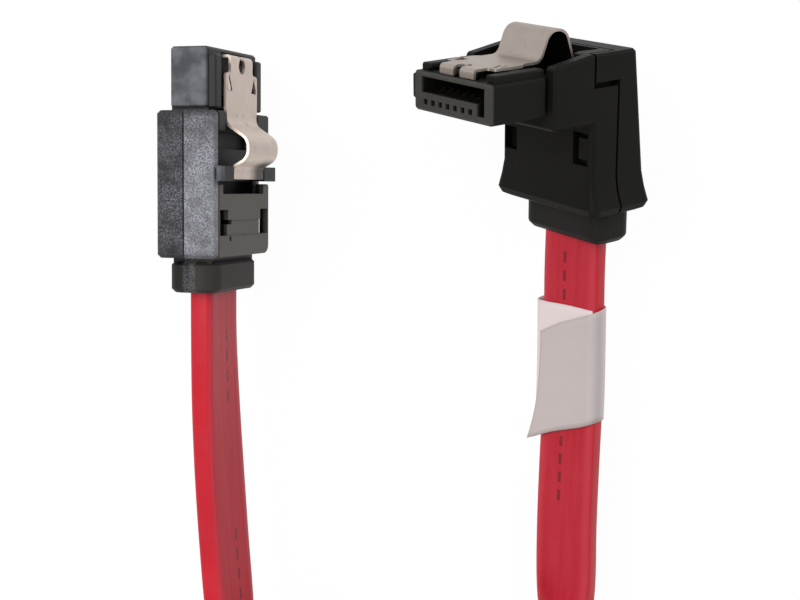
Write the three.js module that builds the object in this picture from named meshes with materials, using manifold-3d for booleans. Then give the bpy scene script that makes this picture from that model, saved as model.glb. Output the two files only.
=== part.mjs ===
// A data cable for computer drives: a flat ribbon cable with a straight plug at one end and a right-angle plug at the
// other. Each plug has an L-shaped slot with seven spring contacts and a press latch folded from sheet steel. The cable
// lies on a surface: both plugs stand on their edges, and the spare cable is tied in a hank. Millimetres, +Z up.
import * as THREE from "three";
import { mergeVertices } from "three/addons/utils/BufferGeometryUtils.js";
import Module from "manifold-3d";

const wasm = await Module();
wasm.setup();

// Fits between neighbouring pieces, and how far joined forms reach into each other and cuts reach past a face.
const FIT_GAP = 0.3;
const SEAM_GAP = 0.15;
const CONTACT_GAP = 0.1;
const OVERLAP = 0.4;
const CLEAR = 1;
const ARC_STEPS = 3;

// Plug nose, the same on both plugs. x runs across the mating face, y towards the latch, z out of the face.
const NOSE_WIDTH = 13.2;
const NOSE_HEIGHT = 4.4;
const NOSE_CORNER = 0.45;
const NOSE_BEVEL = 0.25;
const SLOT_FROM = -5.2;
const SLOT_TO = 5.4;
const SLOT_FLOOR = 2.1;
const SLOT_HEIGHT = 1.77;
const SLOT_LEG_WIDTH = 1.2;
const SLOT_LEG_FLOOR = 0.8;
const SLOT_DEPTH = 6.2;
const KEY_RIB_DEPTH = 0.65;
const KEY_RIB_FROM = 1.2;
const KEY_RIB_TO = 3.9;
const KEY_RIB_SETBACK = 0.3;
const LEDGE_FROM = 4.6;
const LEDGE_TO = 6.2;
const LEDGE_HEIGHT = 0.8;
const LEDGE_SETBACK = 0.8;
const LEDGE_GROOVE_HEIGHT = 0.3;
const LEDGE_GROOVE_DEPTH = 0.45;
const TIP_SLOT_DEPTH = 0.3;
const TIP_SLOT_LIP = 0.4;
const TIP_SLOT_LENGTH = 1.1;

// Contacts: spring strips that lie in channels under the slot and arch up into it.
const CONTACT_COUNT = 7;
const CONTACT_PITCH = 1.27;
const CONTACT_ROW_MIDDLE = -0.74;
const CONTACT_WIDTH = 0.44;
const CONTACT_THICKNESS = 0.2;
const CONTACT_REST_HEIGHT = 1.1;
const CONTACT_ARCH_HEIGHT = 2.4;
const CONTACT_ARCH_SETBACK = 2.9;
const CONTACT_TIP_HEIGHT = 1.22;
const CONTACT_TIP_SETBACK = 1.1;
const CONTACT_SPRING_LENGTH = 6;
const CONTACT_LENGTH = 12;

// Press latch: one strip of sheet steel with two prongs in front, two barb windows and a hump to press.
const SHEET = 0.3;
const LATCH_WIDTH = 8.3;
const LATCH_CLEARANCE = 0.8;
const LATCH_FRONT = 0.65;
const LATCH_BEND = 0.25;
const LATCH_FOOT_RADIUS = 1;
const LATCH_TAIL_RADIUS = 0.5;
const PRONG_SPAN = 5.7;
const PRONG_SLOT = 1.5;
const PRONG_LENGTH = 1.95;
const PRONG_ROUNDING = 0.6;
const SHOULDER_ROUNDING = 0.3;
const BARB_WINDOW_FROM = 2.75;
const BARB_WINDOW_TO = 4.55;
const BARB_WINDOW_WIDTH = 1.1;
const BARB_WINDOW_EDGE = 0.45;
const BARB_WINDOW_SLANT = 0.3;
const SHOULDER_END = 6.5;
const NECK_TAPER = 0.6;
const NECK_ROUNDING = 0.4;

// Straight plug: x across the thickness, y from the cable towards the nose, z across the width.
const STRAIGHT_NOSE_LENGTH = 6.8;
const STRAIGHT_NOSE_OFFSET = -2.1;
const BODY_LENGTH = 15.8;
const BODY_WIDTH = 15;
const BODY_BACK = -3.5;
const BODY_FRONT = 3.45;
const BODY_CORNER = 0.9;
const BODY_BEVEL = 0.35;
const OVERMOULD_WALL = 1.1;
const FAR_WALL_TOP = 2.2;
const PARTING_LINE = -0.1;
const PARTING_WIDTH = 0.2;
const NECK_GAP = 0.4;
const NECK_HALF_DEPTH = 2.2;
const NECK_HALF_WIDTH = 5.6;
const COLLAR_LENGTH = 3.4;
const COLLAR_HALF_DEPTH = 2.9;
const COLLAR_HALF_WIDTH = 6.2;
const COLLAR_CORNER = 2;
const COLLAR_BEVEL = 0.4;
const COVER_EDGE = 0.1;
const COVER_THICKNESS = 1;
const COVER_CORNER = 1;
const COVER_BEVEL = 0.12;
const SNAP_WINDOW_WIDTH = 2.1;
const SNAP_WINDOW_FROM = 2.4;
const SNAP_WINDOW_TO = 5.2;
const SNAP_WINDOW_EDGE = 0.4;
const SNAP_LUG_SINK = 0.75;
const COVER_BAND_DEPTH = 0.15;
const COVER_BAND_FROM = 2.35;
const COVER_BAND_TO = 4.05;
const SIDE_NOTCH_FROM = 3.6;
const SIDE_NOTCH_WIDTH = 0.5;
const SIDE_NOTCH_LENGTH = 1.2;
const PIN_HOLE_FROM = 1.8;
const PIN_HOLE_SIZE = 0.5;
const PIN_HOLE_INSET = 0.35;

// What carries and guards the latch on the straight plug, as distances behind the front of its body.
const CORNER_BLOCK_LENGTH = 2.2;
const CORNER_BLOCK_INNER = 4.3;
const CORNER_BLOCK_ROUNDING = 0.3;
const CORNER_BLOCK_BEVEL = 0.15;
const PIT_STEP_SETBACK = 4;
const HUMP_PIT_FLOOR = 1;
const HUMP_PIT_STEP = 1.9;
const EAR_SETBACK = 5.9;
const EAR_LENGTH = 1.6;
const EAR_HEIGHT = 4.26;
const EAR_SIDE_GAP = 0.3;
const EAR_FLANGE = 0.5;
const TAIL_FLOOR = 2.4;
const TAIL_POCKET = 1.4;
const TAIL_POCKET_FROM = -5.9;
const TAIL_POCKET_TO = 5.1;

// Straight plug's latch: its hump and tail, as distances behind the mating face and heights on the nose.
const STRAIGHT_NECK_WIDTH = 8;
const STRAIGHT_HUMP_RADIUS = 1.4;
const STRAIGHT_HUMP_FOOT = 8.1;
const STRAIGHT_HUMP_FRONT = 9.8;
const STRAIGHT_HUMP_REAR = 11.8;
const STRAIGHT_HUMP_CREST = 7.95;
const STRAIGHT_TAIL_BEND = 12.75;
const STRAIGHT_TAIL_HEIGHT = 6.2;
const STRAIGHT_TAIL_END = 14.1;

// Right-angle plug: x from the mating face back, y towards the latch, z across the width.
const HEAD_FRONT = 8;
const HEAD_BOTTOM = -1.6;
const HEAD_TOP_FRONT = 5.35;
const HEAD_ROUNDING = 0.5;
const SHELL_FRONT = 13.7;
const SHELL_TOP = 6.2;
const SHELL_TOP_REAR = 20.4;
const SHELL_WAIST_REAR = 22;
const SHELL_WAIST = -7.8;
const SHELL_BOTTOM = -12.2;
const SHELL_WIDTH = 15;
const SHELL_CORNER = 0.7;
const SHELL_BEVEL = 0.3;
const FLARE_WIDTH = 16.9;
const FLARE_FRONT = 13.4;
const FLARE_REAR = 22.5;
const FLARE_HEIGHT = -11.2;
const FLARE_CORNER = 1.1;
const BOTTOM_ROUNDING = 0.9;
const SEAM = 17.6;
const TAB_FROM = 14.1;
const TAB_BOTTOM = 3.1;
const TAB_SLOT_BOTTOM = 2.45;
const TAB_THICKNESS = 0.8;
const BED_HALF_WIDTH = 6.1;
const BED_TAIL_HALF_WIDTH = 4.9;
const BED_FLOOR = 4.2;
const BED_PIT_FROM = 9.3;
const BED_PIT_FLOOR = 3.4;
const BED_TAIL_FROM = 14.3;
const BED_TAIL_FLOOR = 2.6;
const BED_END = 17;
const HOOK_FROM = 15.1;
const HOOK_TO = 16.9;
const HOOK_REACH = 1.6;
const HOOK_THICKNESS = 1;
const CORE_LENGTH = 13.2;
const CORE_HALF_WIDTH = 5.4;
const CORE_BOTTOM = 0.4;
const CORE_TOP = 2.6;
const WINDOW_DEPTH = 1.2;
const LEFT_WINDOW_SETBACK = 0.4;
const LEFT_WINDOW_WIDTH = 2.2;
const LEFT_WINDOW_BOTTOM = -6.4;
const LEFT_WINDOW_TOP = -3.7;
const RIGHT_WINDOW_SETBACK = 0.7;
const RIGHT_WINDOW_WIDTH = 2.3;
const RIGHT_WINDOW_BOTTOM = -6.3;
const RIGHT_WINDOW_TOP = -2.6;
const WINDOW_LUG_GAP = 0.65;
const WINDOW_LUG_SINK = 0.25;
const GROMMET_FRONT = 16.1;
const GROMMET_REAR = 21.6;
const GROMMET_HALF_WIDTH = 6.5;
const GROMMET_BOTTOM = -16.2;
const GROMMET_CORNER = 1.8;
const GROMMET_BEVEL = 0.7;
const GROMMET_NECK_LENGTH = 1.6;
const GROMMET_NECK_INSET = 0.9;

// Right-angle plug's latch, as distances behind the mating face and heights on the nose.
const ANGLED_NECK_WIDTH = 7.1;
const ANGLED_HUMP_RADIUS = 1.6;
const ANGLED_HUMP_FOOT = 9.5;
const ANGLED_HUMP_FRONT = 10.8;
const ANGLED_HUMP_REAR = 13.2;
const ANGLED_HUMP_CREST = 8.6;
const ANGLED_TAIL_BEND = 14.6;
const ANGLED_TAIL_HEIGHT = 4.4;
const ANGLED_TAIL_END = 16.6;

// Ribbon cable section.
const RIBBON_WIDTH = 7.4;
const RIBBON_THICKNESS = 2.6;
const RIBBON_ROUNDING = 0.8;

// Where the plugs lie on the surface, and their turns in degrees: turn about z, pitch about x, lean about y.
const STRAIGHT_PLUG = { place: [-21.13, -11.36, 9.138], turn: 0.46, pitch: -4.61, lean: -29.67 };
const ANGLED_PLUG = { place: [3.3, 4.87, 18.37], turn: 4.63, pitch: 9.04, lean: 25.04 };

// Hank of spare cable, seen from above: strands on edge, one and a half turns.
const HANK_MIDDLE = 2.77;
const HANK_TOP_Y = -77;
const HANK_BOTTOM_Y = -122.5;
const OUTER_RADIUS = 21.3;
const STRAND_PITCH = 3.2;
const HANK_HEIGHT = 7.5;
const RUN_JOINT_Y = -65;
const INNER_END_Y = -98;

// Twist tie round the two strands on the straight plug's side.
const TIE_Y = -106;
const TIE_WIDTH = 4;
const TIE_THICKNESS = 0.5;
const TIE_TAIL_LENGTH = 10;
const TIE_TAIL_TURNS = 1.5;

// Routes of the two runs, chosen by hand, from the plug to the hank, with the ribbon's lean at each point.
const STRAIGHT_RUN = [
  [-21.1, -15.46, 9.44, -29.7],
  [-21.03, -20.46, 9.7, -30],
  [-20.73, -27.96, 9.9, -31],
  [-20.23, -35.96, 10.1, -33],
  [-19.63, -43.96, 10.6, -34],
  [-19.03, -50.96, 11.4, -33],
  [-18.23, -58.96, 12.3, -24],
  [-17.13, -66.96, 12.5, -11],
  [-15.83, -74.96, 11.5, -3],
  [-15.23, -82.46, 8.7, 0],
  [-15.23, -88.46, 5.7, 0],
  [-15.28, -93.46, 4.1, 0],
  [-15.33, -97.66, 3.75, 0],
];
const ANGLED_RUN = [
  [21.49, -8.78, 7.91, 29],
  [21.8, -13.46, 7.2, 32.5],
  [22.4, -20.96, 6.3, 34],
  [22.75, -28.96, 6, 36.5],
  [22.9, -36.96, 5.6, 41],
  [23.05, -44.96, 5.4, 44],
  [23.4, -51.96, 5.1, 41],
  [23.8, -58.46, 4.3, 20],
  [24.07, -64.66, 3.8, 0],
];
const RUN_STEP = 2.6;

// Label: a strip of film folded round the cable near the right-angle plug.
const LABEL_FROM = 0.14;
const LABEL_TO = 0.45;
const LABEL_THICKNESS = 0.2;

const steel = { color: 0xb8b0a8, roughness: 0.35, metalness: 0.9 };
const goldPlate = { color: 0xc8a860, roughness: 0.3, metalness: 1 };
const jacketRed = { color: 0xb02035, roughness: 0.5, metalness: 0 };
const overmouldGrey = { color: 0x3c3c42, roughness: 0.6, metalness: 0 };
const smoothGrey = { color: 0x5a5752, roughness: 0.45, metalness: 0 };
const noseGrey = { color: 0x3a3a38, roughness: 0.45, metalness: 0 };
const shellBlack = { color: 0x1e1e1c, roughness: 0.4, metalness: 0 };
const filmWhite = { color: 0xc4bab6, roughness: 0.5, metalness: 0 };
const tieBlack = { color: 0x202022, roughness: 0.5, metalness: 0 };

// Turns a closed geometry into a solid that can be joined and cut.
function solidOf(geometry) {
  const bare = new THREE.BufferGeometry();
  bare.setAttribute("position", geometry.getAttribute("position"));
  bare.setIndex(geometry.getIndex());
  const merged = mergeVertices(bare, 1e-5);
  return new wasm.Manifold(
    new wasm.Mesh({
      numProp: 3,
      vertProperties: merged.attributes.position.array,
      triVerts: new Uint32Array(merged.index.array),
    }),
  );
}

function geometryOf(solid) {
  const mesh = solid.getMesh();
  const geometry = new THREE.BufferGeometry();
  geometry.setAttribute("position", new THREE.BufferAttribute(new Float32Array(mesh.vertProperties), 3));
  geometry.setIndex(new THREE.BufferAttribute(new Uint32Array(mesh.triVerts), 1));
  return geometry;
}

const join = (first, ...others) => others.reduce((whole, other) => whole.add(other), first);
const cut = (base, ...tools) => tools.reduce((rest, tool) => rest.subtract(tool), base);
const placed = (solid, frame) => solidOf(geometryOf(solid).applyMatrix4(frame));

// Adds the corners [u, v, radius] to a path, with an arc at each corner that has a radius.
function addCorners(path, corners, closed) {
  corners.forEach(([u, v, radius = 0], i) => {
    const isEnd = !closed && (i === 0 || i === corners.length - 1);
    if (!radius || isEnd) {
      if (i === 0) path.moveTo(u, v);
      else path.lineTo(u, v);
      return;
    }
    const corner = new THREE.Vector2(u, v);
    const before = corners.at(i - 1);
    const after = corners[(i + 1) % corners.length];
    const back = new THREE.Vector2(before[0], before[1]).sub(corner).normalize();
    const ahead = new THREE.Vector2(after[0], after[1]).sub(corner).normalize();
    const halfAngle = Math.acos(back.dot(ahead)) / 2;
    const run = radius / Math.tan(halfAngle);
    const middle = back.clone().add(ahead).normalize().multiplyScalar(radius / Math.sin(halfAngle)).add(corner);
    const from = back.clone().multiplyScalar(run).add(corner).sub(middle);
    const to = ahead.clone().multiplyScalar(run).add(corner).sub(middle);
    const turnsLeft = back.cross(ahead) < 0;
    path.absarc(middle.x, middle.y, radius, from.angle(), to.angle(), !turnsLeft);
  });
  return path;
}

const outline = (corners) => addCorners(new THREE.Shape(), corners, true);
const rectangle = (u0, u1, v0, v1, radius = 0) =>
  outline([
    [u0, v0, radius],
    [u1, v0, radius],
    [u1, v1, radius],
    [u0, v1, radius],
  ]);

// The outline of a bent strip of even thickness about the centreline through the corners.
function stripOutline(corners, thickness) {
  const points = addCorners(new THREE.Path(), corners, false).getPoints(ARC_STEPS);
  const clean = points.filter((p, i) => i === 0 || p.distanceTo(points[i - 1]) > 1e-6);
  const sides = clean.map((p, i) => {
    const arriving = p.clone().sub(clean[Math.max(i - 1, 0)]).normalize();
    const leaving = clean[Math.min(i + 1, clean.length - 1)].clone().sub(p).normalize();
    const along = arriving.clone().add(leaving).normalize();
    const widening = Math.max(arriving.length() && leaving.length() ? along.dot(leaving) : 1, 0.5);
    return new THREE.Vector2(-along.y, along.x).multiplyScalar(thickness / 2 / widening);
  });
  const left = clean.map((p, i) => p.clone().add(sides[i]));
  const right = clean.map((p, i) => p.clone().sub(sides[i]));
  return new THREE.Shape([...left, ...right.reverse()]);
}

// Extrudes a shape along an axis. The shape lies in the plane of the next two axes: y and z for x, and so on.
const axisX = new THREE.Vector3(1, 0, 0);
const axisY = new THREE.Vector3(0, 1, 0);
const axisZ = new THREE.Vector3(0, 0, 1);
const extrusionFrames = {
  x: new THREE.Matrix4().makeBasis(axisY, axisZ, axisX),
  y: new THREE.Matrix4().makeBasis(axisZ, axisX, axisY),
  z: new THREE.Matrix4().makeBasis(axisX, axisY, axisZ),
};

function extruded(axis, shape, from, to, bevel = 0) {
  const geometry = new THREE.ExtrudeGeometry(shape, {
    depth: to - from - 2 * bevel,
    curveSegments: ARC_STEPS,
    bevelEnabled: bevel > 0,
    bevelThickness: bevel,
    bevelSize: bevel,
    bevelOffset: -bevel,
    bevelSegments: 1,
  });
  geometry.translate(0, 0, from + bevel);
  return solidOf(geometry.applyMatrix4(extrusionFrames[axis]));
}

function block([x0, x1], [y0, y1], [z0, z1]) {
  const geometry = new THREE.BoxGeometry(x1 - x0, y1 - y0, z1 - z0);
  return solidOf(geometry.translate((x0 + x1) / 2, (y0 + y1) / 2, (z0 + z1) / 2));
}

// A closed loft through rounded rectangles, one for each level along y: its x range, half width and corner radius.
function loftAlongY(levels) {
  const rings = levels.map(({ y, x, halfWidth, corner }) =>
    rectangle(-halfWidth, halfWidth, x[0], x[1], corner)
      .getPoints(ARC_STEPS)
      .slice(0, -1)
      .map((p) => new THREE.Vector3(p.y, y, p.x)),
  );
  const count = rings[0].length;
  const positions = rings.flat().flatMap((p) => p.toArray());
  const faces = [];
  for (let level = 0; level + 1 < rings.length; level++) {
    for (let i = 0; i < count; i++) {
      const a = level * count + i;
      const b = level * count + ((i + 1) % count);
      faces.push(a, b, b + count, a, b + count, a + count);
    }
  }
  const last = (rings.length - 1) * count;
  for (let i = 1; i + 1 < count; i++) {
    faces.push(0, i + 1, i, last, last + i, last + i + 1);
  }
  const geometry = new THREE.BufferGeometry();
  geometry.setAttribute("position", new THREE.Float32BufferAttribute(positions, 3));
  geometry.setIndex(faces);
  return solidOf(geometry);
}

function named(name, solid, { color, roughness, metalness }) {
  const geometry = geometryOf(solid).toNonIndexed();
  geometry.computeVertexNormals();
  const mesh = new THREE.Mesh(geometry, new THREE.MeshStandardMaterial({ color, roughness, metalness }));
  mesh.name = name;
  return mesh;
}

// Nose of a plug, in its own frame, with the L slot, the contact channels, the key rib and the latch guards.
const noseTop = NOSE_HEIGHT;
const channelHalf = CONTACT_WIDTH / 2 + CONTACT_GAP;
const channelFloor = CONTACT_REST_HEIGHT - CONTACT_THICKNESS / 2 - 2 * CONTACT_GAP;
const channelRoof = CONTACT_TIP_HEIGHT + CONTACT_THICKNESS / 2 + CONTACT_GAP;
const contactX = (i) => CONTACT_ROW_MIDDLE + (i - (CONTACT_COUNT - 1) / 2) * CONTACT_PITCH;
const contactIndices = Array.from({ length: CONTACT_COUNT }, (_, i) => i);

function noseSolid(length) {
  const half = NOSE_WIDTH / 2;
  const shell = extruded("z", rectangle(-half, half, 0, noseTop, NOSE_CORNER), -length, 0, NOSE_BEVEL);
  const rib = extruded(
    "z",
    rectangle(-half - KEY_RIB_DEPTH, -half + OVERLAP, KEY_RIB_FROM, KEY_RIB_TO, KEY_RIB_DEPTH / 3),
    -length,
    -KEY_RIB_SETBACK,
    KEY_RIB_DEPTH / 4,
  );
  const ledges = [-1, 1].map((side) => {
    const [from, to] = side < 0 ? [-LEDGE_TO, -LEDGE_FROM] : [LEDGE_FROM, LEDGE_TO];
    const shape = rectangle(from, to, noseTop - OVERLAP, noseTop + LEDGE_HEIGHT, LEDGE_HEIGHT / 3);
    return extruded("z", shape, -length, -LEDGE_SETBACK, LEDGE_HEIGHT / 5);
  });
  const grooveFoot = LEDGE_FROM + LEDGE_GROOVE_DEPTH;
  const grooves = block([-grooveFoot, grooveFoot], [noseTop, noseTop + LEDGE_GROOVE_HEIGHT], [-length, 0]);
  return join(shell, rib, ...ledges.map((ledge) => cut(ledge, grooves)));
}

function noseCuts() {
  const slot = extruded(
    "z",
    outline([
      [SLOT_FROM, SLOT_FLOOR],
      [SLOT_TO - SLOT_LEG_WIDTH, SLOT_FLOOR],
      [SLOT_TO - SLOT_LEG_WIDTH, SLOT_LEG_FLOOR],
      [SLOT_TO, SLOT_LEG_FLOOR],
      [SLOT_TO, SLOT_FLOOR + SLOT_HEIGHT],
      [SLOT_FROM, SLOT_FLOOR + SLOT_HEIGHT],
    ]),
    -SLOT_DEPTH,
    OVERLAP,
  );
  const channels = contactIndices.flatMap((i) => {
    const across = [contactX(i) - channelHalf, contactX(i) + channelHalf];
    const bore = block(across, [channelFloor, channelRoof], [-CONTACT_LENGTH - FIT_GAP, OVERLAP]);
    const spring = block(
      across,
      [channelRoof - CONTACT_GAP, SLOT_FLOOR + CONTACT_GAP],
      [-CONTACT_SPRING_LENGTH - FIT_GAP, -CONTACT_TIP_SETBACK + 2 * CONTACT_GAP],
    );
    return [bore, spring];
  });
  const tipHalf = PRONG_SPAN / 2 + FIT_GAP;
  const tipSlot = block(
    [-tipHalf, tipHalf],
    [noseTop - TIP_SLOT_DEPTH, noseTop + OVERLAP],
    [-TIP_SLOT_LIP - TIP_SLOT_LENGTH, -TIP_SLOT_LIP],
  );
  return [slot, ...channels, tipSlot];
}

// One contact, in the nose frame: a tail, a sloping spring arm and an arch that rises into the slot.
function contactSolid(i) {
  const centreline = [
    [CONTACT_REST_HEIGHT, -CONTACT_LENGTH],
    [CONTACT_REST_HEIGHT, -CONTACT_SPRING_LENGTH, 1],
    [CONTACT_ARCH_HEIGHT, -CONTACT_ARCH_SETBACK, 0.5],
    [CONTACT_TIP_HEIGHT, -CONTACT_TIP_SETBACK],
  ];
  const shape = stripOutline(centreline, CONTACT_THICKNESS);
  return extruded("x", shape, contactX(i) - CONTACT_WIDTH / 2, contactX(i) + CONTACT_WIDTH / 2);
}

// A press latch, in the nose frame: the bent strip is trimmed to its flat plan, with prongs and barb windows.
const latchHeight = noseTop + LATCH_CLEARANCE + SHEET / 2;

function latchSolid({ neckWidth, foot, humpFront, humpRear, humpRadius, crest, tailBend, tailHeight, tailEnd }) {
  const centreline = [
    [noseTop - TIP_SLOT_DEPTH + FIT_GAP, -LATCH_FRONT - SHEET / 2],
    [latchHeight, -LATCH_FRONT - SHEET / 2, LATCH_BEND],
    [latchHeight, -foot, LATCH_FOOT_RADIUS],
    [crest, -humpFront, humpRadius],
    [crest, -humpRear, humpRadius],
    [tailHeight, -tailBend, LATCH_TAIL_RADIUS],
    [tailHeight, -tailEnd],
  ];
  const edge = LATCH_WIDTH / 2;
  const strip = extruded("x", stripOutline(centreline, SHEET), -edge, edge);
  const shoulder = LATCH_FRONT + PRONG_LENGTH;
  const neckFrom = SHOULDER_END + NECK_TAPER;
  const neck = neckWidth / 2;
  const prong = PRONG_SPAN / 2;
  const plan = outline([
    [0, prong, PRONG_ROUNDING],
    [-shoulder, prong, SHOULDER_ROUNDING],
    [-shoulder, edge, SHOULDER_ROUNDING],
    [-SHOULDER_END, edge, NECK_ROUNDING],
    [-neckFrom, neck, NECK_ROUNDING],
    [-tailEnd - CLEAR, neck],
    [-tailEnd - CLEAR, -neck],
    [-neckFrom, -neck, NECK_ROUNDING],
    [-SHOULDER_END, -edge, NECK_ROUNDING],
    [-shoulder, -edge, SHOULDER_ROUNDING],
    [-shoulder, -prong, SHOULDER_ROUNDING],
    [0, -prong, PRONG_ROUNDING],
  ]);
  const slot = rectangle(-shoulder, CLEAR, -PRONG_SLOT / 2, PRONG_SLOT / 2, PRONG_SLOT / 3);
  const windowEdge = edge - BARB_WINDOW_EDGE;
  const windows = [-1, 1].map((side) =>
    outline([
      [-BARB_WINDOW_FROM, side * (windowEdge - BARB_WINDOW_SLANT)],
      [-BARB_WINDOW_TO, side * windowEdge],
      [-BARB_WINDOW_TO, side * (windowEdge - BARB_WINDOW_WIDTH)],
    ]),
  );
  const reach = [0, crest + CLEAR];
  const trimmed = strip.intersect(extruded("y", plan, ...reach));
  return cut(trimmed, extruded("y", slot, ...reach), ...windows.map((w) => extruded("y", w, ...reach)));
}

// Straight plug
const straightNose = new THREE.Matrix4()
  .makeBasis(axisZ, axisX, axisY)
  .setPosition(STRAIGHT_NOSE_OFFSET, BODY_LENGTH + STRAIGHT_NOSE_LENGTH, 0);
const bodyHalf = BODY_WIDTH / 2;
const cavityBack = BODY_BACK + OVERMOULD_WALL;
const cavityHalf = bodyHalf - OVERMOULD_WALL;
const blockHalf = cavityHalf - FIT_GAP;
const coverBack = BODY_FRONT - COVER_THICKNESS;
const deckTop = coverBack - FIT_GAP;
const earFront = BODY_LENGTH - EAR_SETBACK;
const earRun = [earFront - EAR_LENGTH, earFront];
const coverTo = earRun[0] - FIT_GAP;
const tailPocketRun = [earRun[0] - TAIL_POCKET, earRun[0]];
const tailPocketAcross = [TAIL_POCKET_FROM, TAIL_POCKET_TO];

function straightOvermould() {
  const shell = extruded(
    "y",
    outline([
      [-bodyHalf, BODY_BACK, BODY_CORNER],
      [bodyHalf, BODY_BACK, BODY_CORNER],
      [bodyHalf, BODY_FRONT, BODY_CORNER / 2],
      [-bodyHalf, BODY_FRONT, BODY_CORNER / 2],
    ]),
    0,
    BODY_LENGTH,
    BODY_BEVEL,
  );
  const above = BODY_FRONT + CLEAR;
  const wholeRun = [-CLEAR, BODY_LENGTH + CLEAR];
  const outsideFar = -bodyHalf - CLEAR;
  const cavityRun = [OVERMOULD_WALL - FIT_GAP, BODY_LENGTH + CLEAR];
  const cavity = block([cavityBack, above], cavityRun, [-cavityHalf, cavityHalf]);
  const farWallTrim = block([FAR_WALL_TOP, above], wholeRun, [outsideFar, -blockHalf]);
  const coverSeat = block([deckTop, above], [-CLEAR, coverTo], [outsideFar, cavityHalf]);
  const partingLine = block(
    [PARTING_LINE - PARTING_WIDTH / 2, PARTING_LINE + PARTING_WIDTH / 2],
    wholeRun,
    [bodyHalf - PARTING_WIDTH, bodyHalf + CLEAR],
  );
  const neck = block(
    [-NECK_HALF_DEPTH, NECK_HALF_DEPTH],
    [-NECK_GAP - OVERLAP, BODY_BEVEL + OVERLAP],
    [-NECK_HALF_WIDTH, NECK_HALF_WIDTH],
  );
  const collar = extruded(
    "y",
    rectangle(-COLLAR_HALF_WIDTH, COLLAR_HALF_WIDTH, -COLLAR_HALF_DEPTH, COLLAR_HALF_DEPTH, COLLAR_CORNER),
    -NECK_GAP - COLLAR_LENGTH,
    -NECK_GAP,
    COLLAR_BEVEL,
  );
  return join(cut(shell, cavity, farWallTrim, coverSeat, partingLine), neck, collar);
}

// The two snap windows of the cover, as ranges across the width.
const nearWindow = [blockHalf - SNAP_WINDOW_EDGE / 2 - SNAP_WINDOW_WIDTH, blockHalf - SNAP_WINDOW_EDGE / 2];
const farWindow = [-bodyHalf + SNAP_WINDOW_EDGE, -bodyHalf + SNAP_WINDOW_EDGE + SNAP_WINDOW_WIDTH];

function straightCover() {
  const plate = extruded(
    "x",
    outline([
      [COVER_EDGE, -bodyHalf, COVER_CORNER],
      [coverTo, -bodyHalf, COVER_CORNER / 4],
      [coverTo, blockHalf, COVER_CORNER / 4],
      [COVER_EDGE, blockHalf, COVER_CORNER / 4],
    ]),
    coverBack,
    BODY_FRONT,
    COVER_BEVEL,
  );
  const through = [coverBack - CLEAR, BODY_FRONT + CLEAR];
  const windows = [nearWindow, farWindow].map((across) => block(through, [SNAP_WINDOW_FROM, SNAP_WINDOW_TO], across));
  const band = block(
    [BODY_FRONT - COVER_BAND_DEPTH, BODY_FRONT + CLEAR],
    [COVER_BAND_FROM, COVER_BAND_TO],
    [farWindow[1] - OVERLAP, nearWindow[0] + OVERLAP],
  );
  const sideNotch = block(
    through,
    [SIDE_NOTCH_FROM, SIDE_NOTCH_FROM + SIDE_NOTCH_WIDTH],
    [nearWindow[0] - SIDE_NOTCH_LENGTH, nearWindow[0] + OVERLAP],
  );
  const pinEdge = nearWindow[0] - PIN_HOLE_INSET;
  const pinHole = block(through, [PIN_HOLE_FROM, PIN_HOLE_FROM + PIN_HOLE_SIZE], [pinEdge - PIN_HOLE_SIZE, pinEdge]);
  const tailPocket = block(through, [tailPocketRun[0], coverTo + CLEAR], tailPocketAcross);
  return cut(plate, ...windows, band, sideNotch, pinHole, tailPocket);
}

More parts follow.
